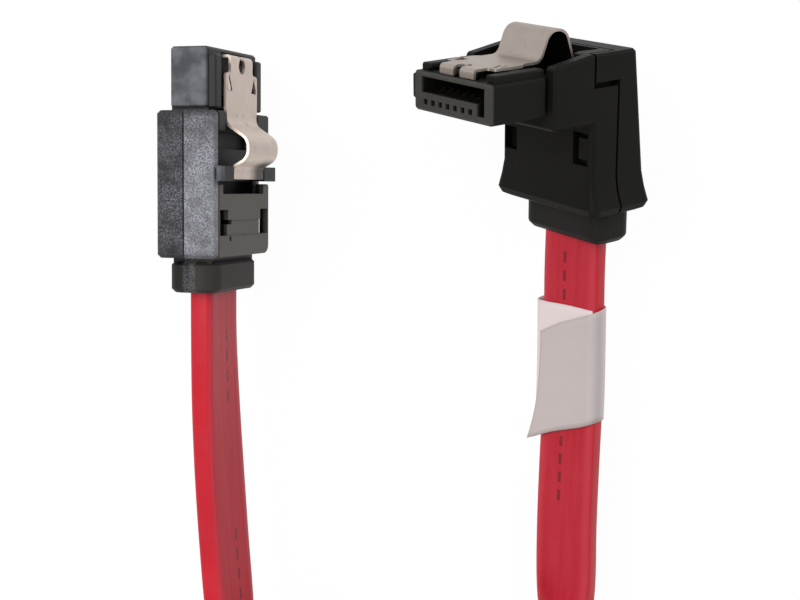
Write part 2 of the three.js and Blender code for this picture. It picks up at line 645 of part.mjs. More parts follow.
function straightHousing() {
  const noseStart = BODY_LENGTH + FIT_GAP;
  const base = block([cavityBack + FIT_GAP, deckTop], [OVERMOULD_WALL, noseStart + OVERLAP], [-blockHalf, blockHalf]);
  const nose = placed(noseSolid(STRAIGHT_NOSE_LENGTH - FIT_GAP), straightNose);
  const overFarWall = FAR_WALL_TOP + FIT_GAP;
  const cornerBlockFrom = BODY_LENGTH - CORNER_BLOCK_LENGTH;
  const cornerBlock = (lowest, across) =>
    extruded(
      "x",
      rectangle(cornerBlockFrom, BODY_LENGTH, ...across, CORNER_BLOCK_ROUNDING),
      lowest,
      BODY_FRONT,
      CORNER_BLOCK_BEVEL,
    );
  const cornerBlocks = [
    cornerBlock(deckTop - OVERLAP, [CORNER_BLOCK_INNER, blockHalf]),
    cornerBlock(deckTop - OVERLAP, [-blockHalf, -CORNER_BLOCK_INNER]),
    cornerBlock(overFarWall, [-bodyHalf, -CORNER_BLOCK_INNER]),
  ];
  const earInner = STRAIGHT_NECK_WIDTH / 2 + EAR_SIDE_GAP;
  const ears = [
    block([deckTop - OVERLAP, EAR_HEIGHT], earRun, [earInner, blockHalf]),
    block([EAR_HEIGHT - EAR_FLANGE, EAR_HEIGHT], earRun, [earInner, bodyHalf]),
    block([deckTop - OVERLAP, EAR_HEIGHT], earRun, [-blockHalf, -earInner]),
    block([overFarWall, EAR_HEIGHT], earRun, [-bodyHalf, -earInner]),
    block([deckTop - OVERLAP, TAIL_FLOOR], earRun, [-blockHalf, blockHalf]),
  ];
  const pitStepEnd = BODY_LENGTH - PIT_STEP_SETBACK;
  const pit = block([HUMP_PIT_FLOOR, BODY_FRONT], [pitStepEnd, cornerBlockFrom], [-blockHalf, blockHalf]);
  const pitStep = block([HUMP_PIT_STEP, BODY_FRONT], [earFront, pitStepEnd], [-blockHalf, blockHalf]);
  const tailPocket = block([HUMP_PIT_FLOOR, BODY_FRONT], tailPocketRun, tailPocketAcross);
  const lugs = [nearWindow, [-blockHalf - FIT_GAP, farWindow[1]]].map(([from, to]) =>
    block(
      [deckTop - OVERLAP, BODY_FRONT - SNAP_LUG_SINK],
      [SNAP_WINDOW_FROM + FIT_GAP, SNAP_WINDOW_TO - FIT_GAP],
      [from + FIT_GAP, to - FIT_GAP],
    ),
  );
  const cuts = noseCuts().map((solid) => placed(solid, straightNose));
  return cut(join(base, nose, ...cornerBlocks, ...ears, ...lugs), pit, pitStep, tailPocket, ...cuts);
}

// Right-angle plug
const angledNose = new THREE.Matrix4().makeBasis(axisZ, axisY, axisX.clone().negate());
const shellHalf = SHELL_WIDTH / 2;

function angledShellSolid() {
  const flareHalf = FLARE_WIDTH / 2;
  const body = loftAlongY([
    {
      y: SHELL_BOTTOM,
      x: [FLARE_FRONT + BOTTOM_ROUNDING, FLARE_REAR - BOTTOM_ROUNDING],
      halfWidth: flareHalf - BOTTOM_ROUNDING,
      corner: FLARE_CORNER,
    },
    {
      y: SHELL_BOTTOM + BOTTOM_ROUNDING / 3,
      x: [FLARE_FRONT + BOTTOM_ROUNDING / 3, FLARE_REAR - BOTTOM_ROUNDING / 3],
      halfWidth: flareHalf - BOTTOM_ROUNDING / 3,
      corner: FLARE_CORNER,
    },
    { y: FLARE_HEIGHT, x: [FLARE_FRONT, FLARE_REAR], halfWidth: flareHalf, corner: FLARE_CORNER },
    {
      y: (FLARE_HEIGHT + SHELL_WAIST) / 2,
      x: [(FLARE_FRONT + 2 * SHELL_FRONT) / 3, (FLARE_REAR + 2 * SHELL_WAIST_REAR) / 3],
      halfWidth: (flareHalf + 2 * shellHalf) / 3,
      corner: SHELL_CORNER,
    },
    { y: SHELL_WAIST, x: [SHELL_FRONT, SHELL_WAIST_REAR], halfWidth: shellHalf, corner: SHELL_CORNER },
    {
      y: SHELL_TOP - SHELL_BEVEL,
      x: [SHELL_FRONT, SHELL_TOP_REAR],
      halfWidth: shellHalf,
      corner: SHELL_CORNER,
    },
    {
      y: SHELL_TOP,
      x: [SHELL_FRONT + SHELL_BEVEL, SHELL_TOP_REAR - SHELL_BEVEL],
      halfWidth: shellHalf - SHELL_BEVEL,
      corner: SHELL_CORNER - SHELL_BEVEL,
    },
  ]);
  const headEnd = SHELL_FRONT + 2 * SHELL_CORNER;
  const head = extruded(
    "z",
    outline([
      [HEAD_FRONT, HEAD_BOTTOM, HEAD_ROUNDING],
      [headEnd, HEAD_BOTTOM],
      [headEnd, SHELL_TOP],
      [SHELL_FRONT, SHELL_TOP],
      [HEAD_FRONT, HEAD_TOP_FRONT, HEAD_ROUNDING],
    ]),
    -shellHalf,
    shellHalf,
    SHELL_BEVEL,
  );
  return join(body, head);
}

function angledShellCuts() {
  const above = SHELL_TOP + CLEAR;
  const tailAcross = [-BED_TAIL_HALF_WIDTH, BED_TAIL_HALF_WIDTH];
  const beds = [
    block([HEAD_FRONT - CLEAR, TAB_FROM - CLEAR], [BED_FLOOR, above], [-BED_HALF_WIDTH, BED_HALF_WIDTH]),
    block([BED_PIT_FROM, BED_END], [BED_PIT_FLOOR, above], tailAcross),
    block([BED_TAIL_FROM, BED_END], [BED_TAIL_FLOOR, above], tailAcross),
  ];
  const coreSeat = block(
    [HEAD_FRONT - CLEAR, CORE_LENGTH + FIT_GAP],
    [CORE_BOTTOM - FIT_GAP, CORE_TOP + FIT_GAP],
    [-CORE_HALF_WIDTH - FIT_GAP, CORE_HALF_WIDTH + FIT_GAP],
  );
  const windowBack = SHELL_FRONT + WINDOW_DEPTH;
  const windowRun = [SHELL_FRONT - CLEAR, windowBack];
  const leftEdge = LEFT_WINDOW_SETBACK - shellHalf;
  const leftWindow = block(
    windowRun,
    [LEFT_WINDOW_BOTTOM, LEFT_WINDOW_TOP],
    [leftEdge, leftEdge + LEFT_WINDOW_WIDTH],
  );
  const rightEdge = shellHalf - RIGHT_WINDOW_SETBACK;
  const rightWindow = cut(
    block(windowRun, [RIGHT_WINDOW_BOTTOM, RIGHT_WINDOW_TOP], [rightEdge - RIGHT_WINDOW_WIDTH, rightEdge]),
    block(
      [SHELL_FRONT + WINDOW_LUG_SINK, windowBack],
      [RIGHT_WINDOW_BOTTOM + WINDOW_LUG_GAP, RIGHT_WINDOW_TOP - WINDOW_LUG_GAP],
      [rightEdge - RIGHT_WINDOW_WIDTH + WINDOW_LUG_GAP, rightEdge + CLEAR],
    ),
  );
  const grommetSeat = block(
    [GROMMET_FRONT + GROMMET_NECK_INSET - FIT_GAP, GROMMET_REAR - GROMMET_NECK_INSET + FIT_GAP],
    [SHELL_BOTTOM - CLEAR, SHELL_BOTTOM + GROMMET_NECK_LENGTH],
    [-GROMMET_HALF_WIDTH + GROMMET_NECK_INSET - FIT_GAP, GROMMET_HALF_WIDTH - GROMMET_NECK_INSET + FIT_GAP],
  );
  return [...beds, coreSeat, leftWindow, rightWindow, grommetSeat];
}

function sideBlocks(x, y, [inner, outer]) {
  return [block(x, y, [inner, outer]), block(x, y, [-outer, -inner])];
}

// Two hooks that keep the tail of the latch down, one on each side of its bed.
const tailHooks = sideBlocks(
  [HOOK_FROM, HOOK_TO],
  [SHELL_TOP - HOOK_THICKNESS, SHELL_TOP - SHELL_BEVEL],
  [BED_TAIL_HALF_WIDTH - HOOK_REACH, BED_TAIL_HALF_WIDTH + OVERLAP],
);
const angledWhole = join(cut(angledShellSolid(), ...angledShellCuts()), ...tailHooks);
const wholeHeight = [SHELL_BOTTOM - CLEAR, SHELL_TOP + CLEAR];
const wholeWidth = [-FLARE_WIDTH, FLARE_WIDTH];

function angledFrontShell() {
  const front = cut(angledWhole, block([SEAM - SEAM_GAP, FLARE_REAR + CLEAR], wholeHeight, wholeWidth));
  const tabSlots = sideBlocks(
    [TAB_FROM - FIT_GAP, SEAM],
    [TAB_SLOT_BOTTOM, SHELL_TOP + CLEAR],
    [shellHalf - TAB_THICKNESS - FIT_GAP, shellHalf + CLEAR],
  );
  return cut(front, ...tabSlots);
}

function angledRearShell() {
  const rear = cut(angledWhole, block([HEAD_FRONT - CLEAR, SEAM + SEAM_GAP], wholeHeight, wholeWidth));
  const tabs = sideBlocks(
    [TAB_FROM, SEAM + OVERLAP],
    [TAB_BOTTOM, SHELL_TOP + CLEAR],
    [shellHalf - TAB_THICKNESS, shellHalf + CLEAR],
  ).map((tab) => tab.intersect(angledWhole));
  return join(rear, ...tabs);
}

function angledHousing() {
  const nose = placed(noseSolid(HEAD_FRONT - FIT_GAP), angledNose);
  const coreRun = [HEAD_FRONT - FIT_GAP - OVERLAP, CORE_LENGTH];
  const core = block(coreRun, [CORE_BOTTOM, CORE_TOP], [-CORE_HALF_WIDTH, CORE_HALF_WIDTH]);
  const cuts = noseCuts().map((solid) => placed(solid, angledNose));
  return cut(join(nose, core), ...cuts);
}

function angledGrommet() {
  const body = extruded(
    "y",
    rectangle(-GROMMET_HALF_WIDTH, GROMMET_HALF_WIDTH, GROMMET_FRONT, GROMMET_REAR, GROMMET_CORNER),
    GROMMET_BOTTOM,
    SHELL_BOTTOM - FIT_GAP + GROMMET_BEVEL,
    GROMMET_BEVEL,
  );
  const trim = block([SHELL_FRONT, FLARE_REAR], [SHELL_BOTTOM - FIT_GAP, SHELL_WAIST], wholeWidth);
  const neck = block(
    [GROMMET_FRONT + GROMMET_NECK_INSET, GROMMET_REAR - GROMMET_NECK_INSET],
    [SHELL_BOTTOM - FIT_GAP - OVERLAP, SHELL_BOTTOM + GROMMET_NECK_LENGTH - FIT_GAP],
    [-GROMMET_HALF_WIDTH + GROMMET_NECK_INSET, GROMMET_HALF_WIDTH - GROMMET_NECK_INSET],
  );
  return join(cut(body, trim), neck);
}

// Cable runs: a ribbon section swept along a route, leaning at each point by the angle that the route gives.
class RibbonRoute extends THREE.CatmullRomCurve3 {
  constructor(route, from = 0, to = 1) {
    super(route.map(([x, y, z]) => new THREE.Vector3(x, y, z)), false, "centripetal");
    this.leans = route.map((point) => point[3]);
    this.from = from;
    this.to = to;
    this.arcLengthDivisions = 400;
  }

  // The lean in radians at a share of the length, read between the route's points.
  leanAt(share) {
    const position = this.getUtoTmapping(share) * (this.leans.length - 1);
    const index = Math.min(Math.floor(position), this.leans.length - 2);
    const lean = THREE.MathUtils.lerp(this.leans[index], this.leans[index + 1], position - index);
    return THREE.MathUtils.degToRad(lean);
  }

  shareAt(u) {
    return THREE.MathUtils.lerp(this.from, this.to, u);
  }

  getSpacedPoints(divisions) {
    return Array.from({ length: divisions + 1 }, (_, i) => this.getPointAt(this.shareAt(i / divisions)));
  }

  computeFrenetFrames(segments) {
    const tangents = [];
    const normals = [];
    const binormals = [];
    for (let i = 0; i <= segments; i++) {
      const share = this.shareAt(i / segments);
      const tangent = this.getTangentAt(share);
      const side = new THREE.Vector3().crossVectors(axisZ, tangent).normalize();
      const upright = new THREE.Vector3().crossVectors(tangent, side);
      const across = upright.multiplyScalar(Math.cos(this.leanAt(share)));
      across.addScaledVector(side, Math.sin(this.leanAt(share)));
      tangents.push(tangent);
      binormals.push(across);
      normals.push(new THREE.Vector3().crossVectors(across, tangent));
    }
    return { tangents, normals, binormals };
  }
}

const halfThickness = RIBBON_THICKNESS / 2;
const halfRibbon = RIBBON_WIDTH / 2;

function sweptAlong(route, shape, arcSteps, stepLength) {
  const length = route.getLength() * (route.to - route.from);
  const steps = Math.ceil(length / stepLength);
  return solidOf(new THREE.ExtrudeGeometry(shape, { steps, extrudePath: route, curveSegments: arcSteps }));
}

function cableRun(points) {
  const section = rectangle(-halfThickness, halfThickness, -halfRibbon, halfRibbon, RIBBON_ROUNDING);
  return sweptAlong(new RibbonRoute(points), section, 1, RUN_STEP);
}

function labelSleeve() {
  const roundRibbon = (grow) => {
    const depth = halfThickness + grow;
    const width = halfRibbon + grow;
    return rectangle(-depth, depth, -width, width, RIBBON_ROUNDING + grow);
  };
  const sleeve = roundRibbon(SEAM_GAP + LABEL_THICKNESS);
  sleeve.holes.push(roundRibbon(SEAM_GAP));
  return sweptAlong(new RibbonRoute(ANGLED_RUN, LABEL_FROM, LABEL_TO), sleeve, 1, RUN_STEP);
}

// The hank as one flat solid: the outer strand all the way round, the inner strand up to where it rises to cross.
const turnRadius = OUTER_RADIUS - STRAND_PITCH / 2;
const innerRadius = OUTER_RADIUS - STRAND_PITCH;
const turnMiddle = HANK_MIDDLE - STRAND_PITCH / 2;
const strandLeft = HANK_MIDDLE - OUTER_RADIUS;
const strandRight = HANK_MIDDLE + OUTER_RADIUS;

function hankSolid() {
  const plan = new THREE.Shape();
  plan.moveTo(strandRight - halfThickness, RUN_JOINT_Y);
  plan.lineTo(strandRight - halfThickness, HANK_TOP_Y);
  plan.absarc(turnMiddle, HANK_TOP_Y, turnRadius + halfThickness, 0, Math.PI, false);
  plan.absarc(HANK_MIDDLE, HANK_BOTTOM_Y, OUTER_RADIUS + halfThickness, Math.PI, 2 * Math.PI, false);
  plan.lineTo(strandRight + halfThickness, RUN_JOINT_Y);
  const hollow = new THREE.Path();
  hollow.moveTo(strandLeft + STRAND_PITCH + halfThickness, INNER_END_Y);
  hollow.lineTo(strandLeft + halfThickness, INNER_END_Y);
  hollow.absarc(turnMiddle, HANK_TOP_Y, turnRadius - halfThickness, Math.PI, 0, true);
  hollow.absarc(HANK_MIDDLE, HANK_BOTTOM_Y, innerRadius - halfThickness, 0, Math.PI, true);
  plan.holes.push(hollow);
  const geometry = new THREE.ExtrudeGeometry(plan, { depth: HANK_HEIGHT, bevelEnabled: false, curveSegments: 12 });
  const tieHalf = TIE_WIDTH / 2 + FIT_GAP;
  const tieGroove = block(
    [strandLeft - halfThickness - 1, strandLeft + STRAND_PITCH + halfThickness + 1],
    [TIE_Y - tieHalf, TIE_Y + tieHalf],
    [-1, TIE_THICKNESS + FIT_GAP],
  );
  return cut(solidOf(geometry), tieGroove);
}

// Twist tie: a band round the strands with its two ends twisted together.
function twistTie() {
  const from = strandLeft - halfThickness - FIT_GAP;
  const to = strandLeft + STRAND_PITCH + halfThickness + FIT_GAP;
  const top = HANK_HEIGHT + FIT_GAP;
  const across = [TIE_Y - TIE_WIDTH / 2, TIE_Y + TIE_WIDTH / 2];
  const outside = rectangle(0, top + TIE_THICKNESS, from - TIE_THICKNESS, to + TIE_THICKNESS, TIE_THICKNESS);
  const inside = block([from, to], [across[0] - 1, across[1] + 1], [TIE_THICKNESS, top]);
  const ring = cut(extruded("y", outside, ...across), inside);
  const tailHeight = top + TIE_THICKNESS + TIE_THICKNESS;
  const tailPoints = [0, 0.33, 0.67, 1].map((share) => [
    (from + to) / 2,
    TIE_Y - TIE_TAIL_LENGTH * share,
    tailHeight + share,
    360 * TIE_TAIL_TURNS * share,
  ]);
  const tailSection = rectangle(-TIE_THICKNESS, TIE_THICKNESS, -TIE_WIDTH / 4, TIE_WIDTH / 4, TIE_THICKNESS / 2);
  return join(ring, sweptAlong(new RibbonRoute(tailPoints), tailSection, 1, 0.5));
}

function plugGroup({ place, turn, pitch, lean }, ...meshes) {
  const group = new THREE.Group();
  group.position.set(...place);
  const [x, y, z] = [pitch, lean, turn].map(THREE.MathUtils.degToRad);
  group.rotation.set(x, y, z, "ZXY");
  group.add(...meshes);
  return group;
}

const straightContacts = contactIndices.map((i) =>
  named(`straight_contact_${i + 1}`, placed(contactSolid(i), straightNose), goldPlate),
);
const angledContacts = contactIndices.map((i) =>
  named(`angled_contact_${i + 1}`, placed(contactSolid(i), angledNose), goldPlate),
);
const straightLatch = latchSolid({
  neckWidth: STRAIGHT_NECK_WIDTH,
  foot: STRAIGHT_HUMP_FOOT,
  humpFront: STRAIGHT_HUMP_FRONT,
  humpRear: STRAIGHT_HUMP_REAR,
  humpRadius: STRAIGHT_HUMP_RADIUS,
  crest: STRAIGHT_HUMP_CREST,
  tailBend: STRAIGHT_TAIL_BEND,
  tailHeight: STRAIGHT_TAIL_HEIGHT,
  tailEnd: STRAIGHT_TAIL_END,
});
const angledLatch = latchSolid({
  neckWidth: ANGLED_NECK_WIDTH,
  foot: ANGLED_HUMP_FOOT,
  humpFront: ANGLED_HUMP_FRONT,
  humpRear: ANGLED_HUMP_REAR,
  humpRadius: ANGLED_HUMP_RADIUS,
  crest: ANGLED_HUMP_CREST,
  tailBend: ANGLED_TAIL_BEND,
  tailHeight: ANGLED_TAIL_HEIGHT,
  tailEnd: ANGLED_TAIL_END,
});

const cable = new THREE.Group();
cable.add(
  plugGroup(
    STRAIGHT_PLUG,
    named("straight_housing", straightHousing(), smoothGrey),
    named("straight_cover", straightCover(), smoothGrey),
    named("straight_overmould", straightOvermould(), overmouldGrey),
    named("straight_latch", placed(straightLatch, straightNose), steel),
    ...straightContacts,
  ),
  plugGroup(
    ANGLED_PLUG,
    named("angled_housing", angledHousing(), noseGrey),
    named("angled_front_shell", angledFrontShell(), shellBlack),
    named("angled_rear_shell", angledRearShell(), shellBlack),
    named("angled_grommet", angledGrommet(), shellBlack),
    named("angled_latch", placed(angledLatch, angledNose), steel),
    ...angledContacts,
  ),
  named("cable_run_straight_end", cableRun(STRAIGHT_RUN), jacketRed),
  named("cable_run_angled_end", cableRun(ANGLED_RUN), jacketRed),
  named("cable_hank", hankSolid(), jacketRed),
  named("twist_tie", twistTie(), tieBlack),
  named("label_flag", labelSleeve(), filmWhite),
);

export default cable;
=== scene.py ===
import math

import bmesh
import bpy
import numpy as np
from mathutils import Matrix, Vector


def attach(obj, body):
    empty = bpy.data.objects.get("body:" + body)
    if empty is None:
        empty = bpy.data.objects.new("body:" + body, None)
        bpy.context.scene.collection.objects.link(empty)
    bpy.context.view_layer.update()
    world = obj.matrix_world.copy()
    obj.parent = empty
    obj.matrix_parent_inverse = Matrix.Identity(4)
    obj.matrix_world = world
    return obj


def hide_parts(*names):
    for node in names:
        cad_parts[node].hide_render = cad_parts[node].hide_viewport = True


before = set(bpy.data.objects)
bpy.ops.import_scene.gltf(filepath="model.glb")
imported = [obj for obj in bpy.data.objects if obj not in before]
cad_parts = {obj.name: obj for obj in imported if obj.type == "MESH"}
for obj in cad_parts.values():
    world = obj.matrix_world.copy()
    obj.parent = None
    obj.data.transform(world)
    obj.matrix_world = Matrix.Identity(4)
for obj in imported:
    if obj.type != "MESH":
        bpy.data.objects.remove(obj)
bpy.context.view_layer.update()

# Camera. A long lens looks down on the table from above the two plugs. The picture is tilted towards the
# cable and turned a little to the left, as in the photograph.
CAMERA_PLACE = (-0.03563, 0.01004, 0.17594)
CAMERA_TILT = math.radians(-9)
CAMERA_TURN = math.radians(-12)
CAMERA_LENS = 67.5

camera = bpy.data.objects.new("camera", bpy.data.cameras.new("camera"))
camera.location = CAMERA_PLACE
camera.rotation_mode = "ZYX"
camera.rotation_euler = (CAMERA_TILT, CAMERA_TURN, 0)
camera.data.lens = CAMERA_LENS
camera.data.sensor_width = 36
camera.data.clip_start = 0.01
bpy.context.scene.collection.objects.link(camera)
bpy.context.scene.camera = camera

# Ribbon cable. Two shielded pairs side by side in one flat soft jacket of red vinyl, half a metre long. It
# leaves the straight plug, is stowed in a hank of one and a half turns and ends in the angled plug. Each point
# of a run is a place and the lean of the ribbon's width from upright, in degrees.
RIBBON_WIDTH = 0.0074
RIBBON_THICKNESS = 0.0026
RIBBON_CORNER = 0.0006
RIBBON_DIP = 0.00006
RIBBON_STEP = 0.0011
STRAIGHT_RUN = [
    (-0.02111, -0.01405, 0.00935, -29.7),
    (-0.0211, -0.01546, 0.00944, -29.7),
    (-0.02103, -0.02046, 0.0097, -30),
    (-0.02073, -0.02796, 0.0099, -33),
    (-0.02023, -0.03596, 0.0101, -35.5),
    (-0.01963, -0.04396, 0.0106, -36),
    (-0.01903, -0.05096, 0.0114, -35),
    (-0.01823, -0.05896, 0.0123, -26),
    (-0.01713, -0.06696, 0.0125, -11),
    (-0.01583, -0.07496, 0.0115, -3),
    (-0.01523, -0.08246, 0.0087, 0),
    (-0.01523, -0.08846, 0.0057, 0),
    (-0.01528, -0.09346, 0.0043, 0),
    (-0.01533, -0.09766, 0.00425, 0),
    (-0.01533, -0.106, 0.00435, 0),
    (-0.01533, -0.115, 0.0039, 0),
]
ANGLED_RUN = [
    (0.02407, -0.06466, 0.0038, 0),
    (0.0238, -0.05846, 0.0043, -22),
    (0.0234, -0.05196, 0.0051, -44),
    (0.02305, -0.04496, 0.0054, -44),
    (0.0229, -0.03696, 0.0056, -43),
    (0.02275, -0.02896, 0.006, -41),
    (0.0224, -0.02096, 0.0063, -40),
    (0.0218, -0.01346, 0.0072, -39),
    (0.02149, -0.00878, 0.00791, -38),
    (0.02139, -0.00748, 0.00813, -37),
]
HANK_MIDDLE = 0.00277
HANK_TOP = -0.077
HANK_BOTTOM = -0.1225
HANK_PITCH = 0.0032
HANK_OUTER_RADIUS = 0.0213
STRAND_HEIGHT = 0.00375
TIED_HEIGHT = 0.00435
TIE_Y = -0.106
TURN_STEPS = 10


def half_turn(middle, end_y, radius, from_degrees):
    """The points of one end of the hank, half way round to the left, the ribbon upright on its edge."""
    turn = []
    for i in range(TURN_STEPS + 1):
        angle = math.radians(from_degrees + 180 * i / TURN_STEPS)
        turn.append((middle + radius * math.cos(angle), end_y + radius * math.sin(angle), STRAND_HEIGHT, 0))
    return turn


def strand(x, heights):
    """Points along one straight strand of the hank, from a list of places along it and heights."""
    return [(x, y, z, 0) for y, z in heights]


hank = half_turn(HANK_MIDDLE, HANK_BOTTOM, HANK_OUTER_RADIUS - HANK_PITCH, 180)
hank += strand(
    HANK_MIDDLE + HANK_OUTER_RADIUS - HANK_PITCH,
    [(-0.107, STRAND_HEIGHT), (-0.092, STRAND_HEIGHT)],
)
hank += half_turn(HANK_MIDDLE - HANK_PITCH / 2, HANK_TOP, HANK_OUTER_RADIUS - HANK_PITCH / 2, 0)
hank += strand(
    HANK_MIDDLE - HANK_OUTER_RADIUS,
    [(-0.086, STRAND_HEIGHT), (-0.096, 0.0041), (TIE_Y, TIED_HEIGHT), (-0.115, 0.0039)],
)
hank += half_turn(HANK_MIDDLE, HANK_BOTTOM, HANK_OUTER_RADIUS, 180)
hank += strand(
    HANK_MIDDLE + HANK_OUTER_RADIUS,
    [(-0.107, STRAND_HEIGHT), (-0.092, STRAND_HEIGHT), (HANK_TOP, STRAND_HEIGHT)],
)


def between(start, end, from_time, to_time, time):
    """Where a point is at a time, when it moves evenly from start to end."""
    return start + (end - start) * (time - from_time) / (to_time - from_time)


def smooth_line(points, step):
    """Samples about a step apart on a smooth curve through the points. The first three numbers of a point
    are its place, and the rest are carried along with them."""
    knots = np.array(points, float)
    knots = np.vstack([2 * knots[0] - knots[1], knots, 2 * knots[-1] - knots[-2]])
    samples = []
    for i in range(1, len(knots) - 2):
        corners = knots[i - 1 : i + 3]
        gaps = np.sqrt(np.linalg.norm(np.diff(corners[:, :3], axis=0), axis=1))
        t = np.concatenate([[0], np.cumsum(gaps)])
        count = max(1, round(float(np.linalg.norm(corners[2, :3] - corners[1, :3])) / step))
        for u in np.linspace(t[1], t[2], count, endpoint=False):
            lines = [between(corners[k], corners[k + 1], t[k], t[k + 1], u) for k in range(3)]
            bends = [between(lines[k], lines[k + 1], t[k], t[k + 2], u) for k in range(2)]
            samples.append(between(bends[0], bends[1], t[1], t[2], u))
    samples.append(knots[-2])
    return np.array(samples)


ribbon_line = smooth_line(STRAIGHT_RUN + hank + ANGLED_RUN, RIBBON_STEP)
ribbon_places = ribbon_line[:, :3]
ribbon_tangents = np.gradient(ribbon_places, axis=0)
ribbon_tangents /= np.linalg.norm(ribbon_tangents, axis=1)[:, None]
ribbon_steps = np.linalg.norm(np.diff(ribbon_places, axis=0), axis=1)
ribbon_run = np.concatenate([[0], np.cumsum(ribbon_steps)])
level_sides = np.cross((0, 0, 1), ribbon_tangents)
level_sides /= np.linalg.norm(level_sides, axis=1)[:, None]
uprights = np.cross(ribbon_tangents, level_sides)
leans = np.radians(ribbon_line[:, 3])[:, None]
ribbon_across = uprights * np.cos(leans) + level_sides * np.sin(leans)
ribbon_faces = np.cross(ribbon_across, ribbon_tangents)


def rounded_section(half_width, half_thickness, corner, corner_steps, face_points, dip):
    """A flat section with round corners as (across, out) pairs. Its broad faces are hollow by dip."""
    points = []
    for quarter in range(4):
        sign_across = 1 if quarter in (0, 3) else -1
        sign_out = 1 if quarter < 2 else -1
        middle = (sign_across * (half_width - corner), sign_out * (half_thickness - corner))
        for i in range(corner_steps + 1):
            angle = math.radians(90 * (quarter + i / corner_steps))
            points.append((middle[0] + corner * math.cos(angle), middle[1] + corner * math.sin(angle)))
        if quarter in (0, 2):
            for i in range(1, face_points + 1):
                share = 1 - 2 * i / (face_points + 1)
                out = half_thickness - dip * (1 - share**2)
                points.append((sign_across * share * (half_width - corner), sign_out * out))
    return points


def swept(name, places, across, faces, section, attributes=True):
    """A closed tube: one ring of the section at each place, turned to that place's two directions."""
    rings = len(places)
    size = len(section)
    vertices = [
        places[i] + across[i] * u + faces[i] * v
        for i in range(rings)
        for u, v in section
    ]
    polygons = [
        (i * size + j, i * size + (j + 1) % size, (i + 1) * size + (j + 1) % size, (i + 1) * size + j)
        for i in range(rings - 1)
        for j in range(size)
    ]
    polygons.append(tuple(reversed(range(size))))
    polygons.append(tuple(range((rings - 1) * size, rings * size)))
    mesh = bpy.data.meshes.new(name)
    mesh.from_pydata([tuple(v) for v in vertices], [], polygons)
    if attributes:
        along = mesh.attributes.new("along", "FLOAT", "POINT")
        sideways = mesh.attributes.new("sideways", "FLOAT", "POINT")
        outwards = mesh.attributes.new("outwards", "FLOAT", "POINT")
        run = np.concatenate([[0], np.cumsum(np.linalg.norm(np.diff(places, axis=0), axis=1))])
        along.data.foreach_set("value", np.repeat(run, size).astype(np.float32))
        sideways.data.foreach_set("value", np.array([u for u, _ in section] * rings, np.float32))
        outwards.data.foreach_set("value", np.array([v for _, v in section] * rings, np.float32))
    mesh.update()
    for polygon in mesh.polygons[:-2]:
        polygon.use_smooth = True
    piece = bpy.data.objects.new(name, mesh)
    bpy.context.scene.collection.objects.link(piece)
    return piece


class Wire:
    """A value, colour or direction on its way through a finish. Arithmetic on it adds the Math nodes."""

    def __init__(self, finish, socket):
        self.finish = finish
        self.socket = socket

    def math(self, operation, first, second):
        return self.finish.node("ShaderNodeMath", {0: first, 1: second}, operation=operation)

    def __add__(self, other):
        return self.math("ADD", self, other)

    def __sub__(self, other):
        return self.math("SUBTRACT", self, other)

    def __rsub__(self, other):
        return self.math("SUBTRACT", other, self)

    def __mul__(self, other):
        return self.math("MULTIPLY", self, other)

    def __truediv__(self, other):
        return self.math("DIVIDE", self, other)

    __radd__ = __add__


class Wiring:
    """Adds nodes to a node tree, with numbers and wires for their inputs."""

    def __init__(self, tree):
        self.tree = tree

    def feed(self, node, inputs):
        for socket, value in inputs.items():
            if isinstance(value, Wire):
                self.tree.links.new(value.socket, node.inputs[socket])
            else:
                node.inputs[socket].default_value = value

    def node(self, kind, inputs, output=0, stops=(), **settings):
        made = self.tree.nodes.new(kind)
        for setting, value in settings.items():
            setattr(made, setting, value)
        for i, (place, shade) in enumerate(stops):
            elements = made.color_ramp.elements
            stop = elements[i] if i < len(elements) else elements.new(place)
            stop.position = place
            stop.color = shade
        self.feed(made, inputs)
        return Wire(self, made.outputs[output])


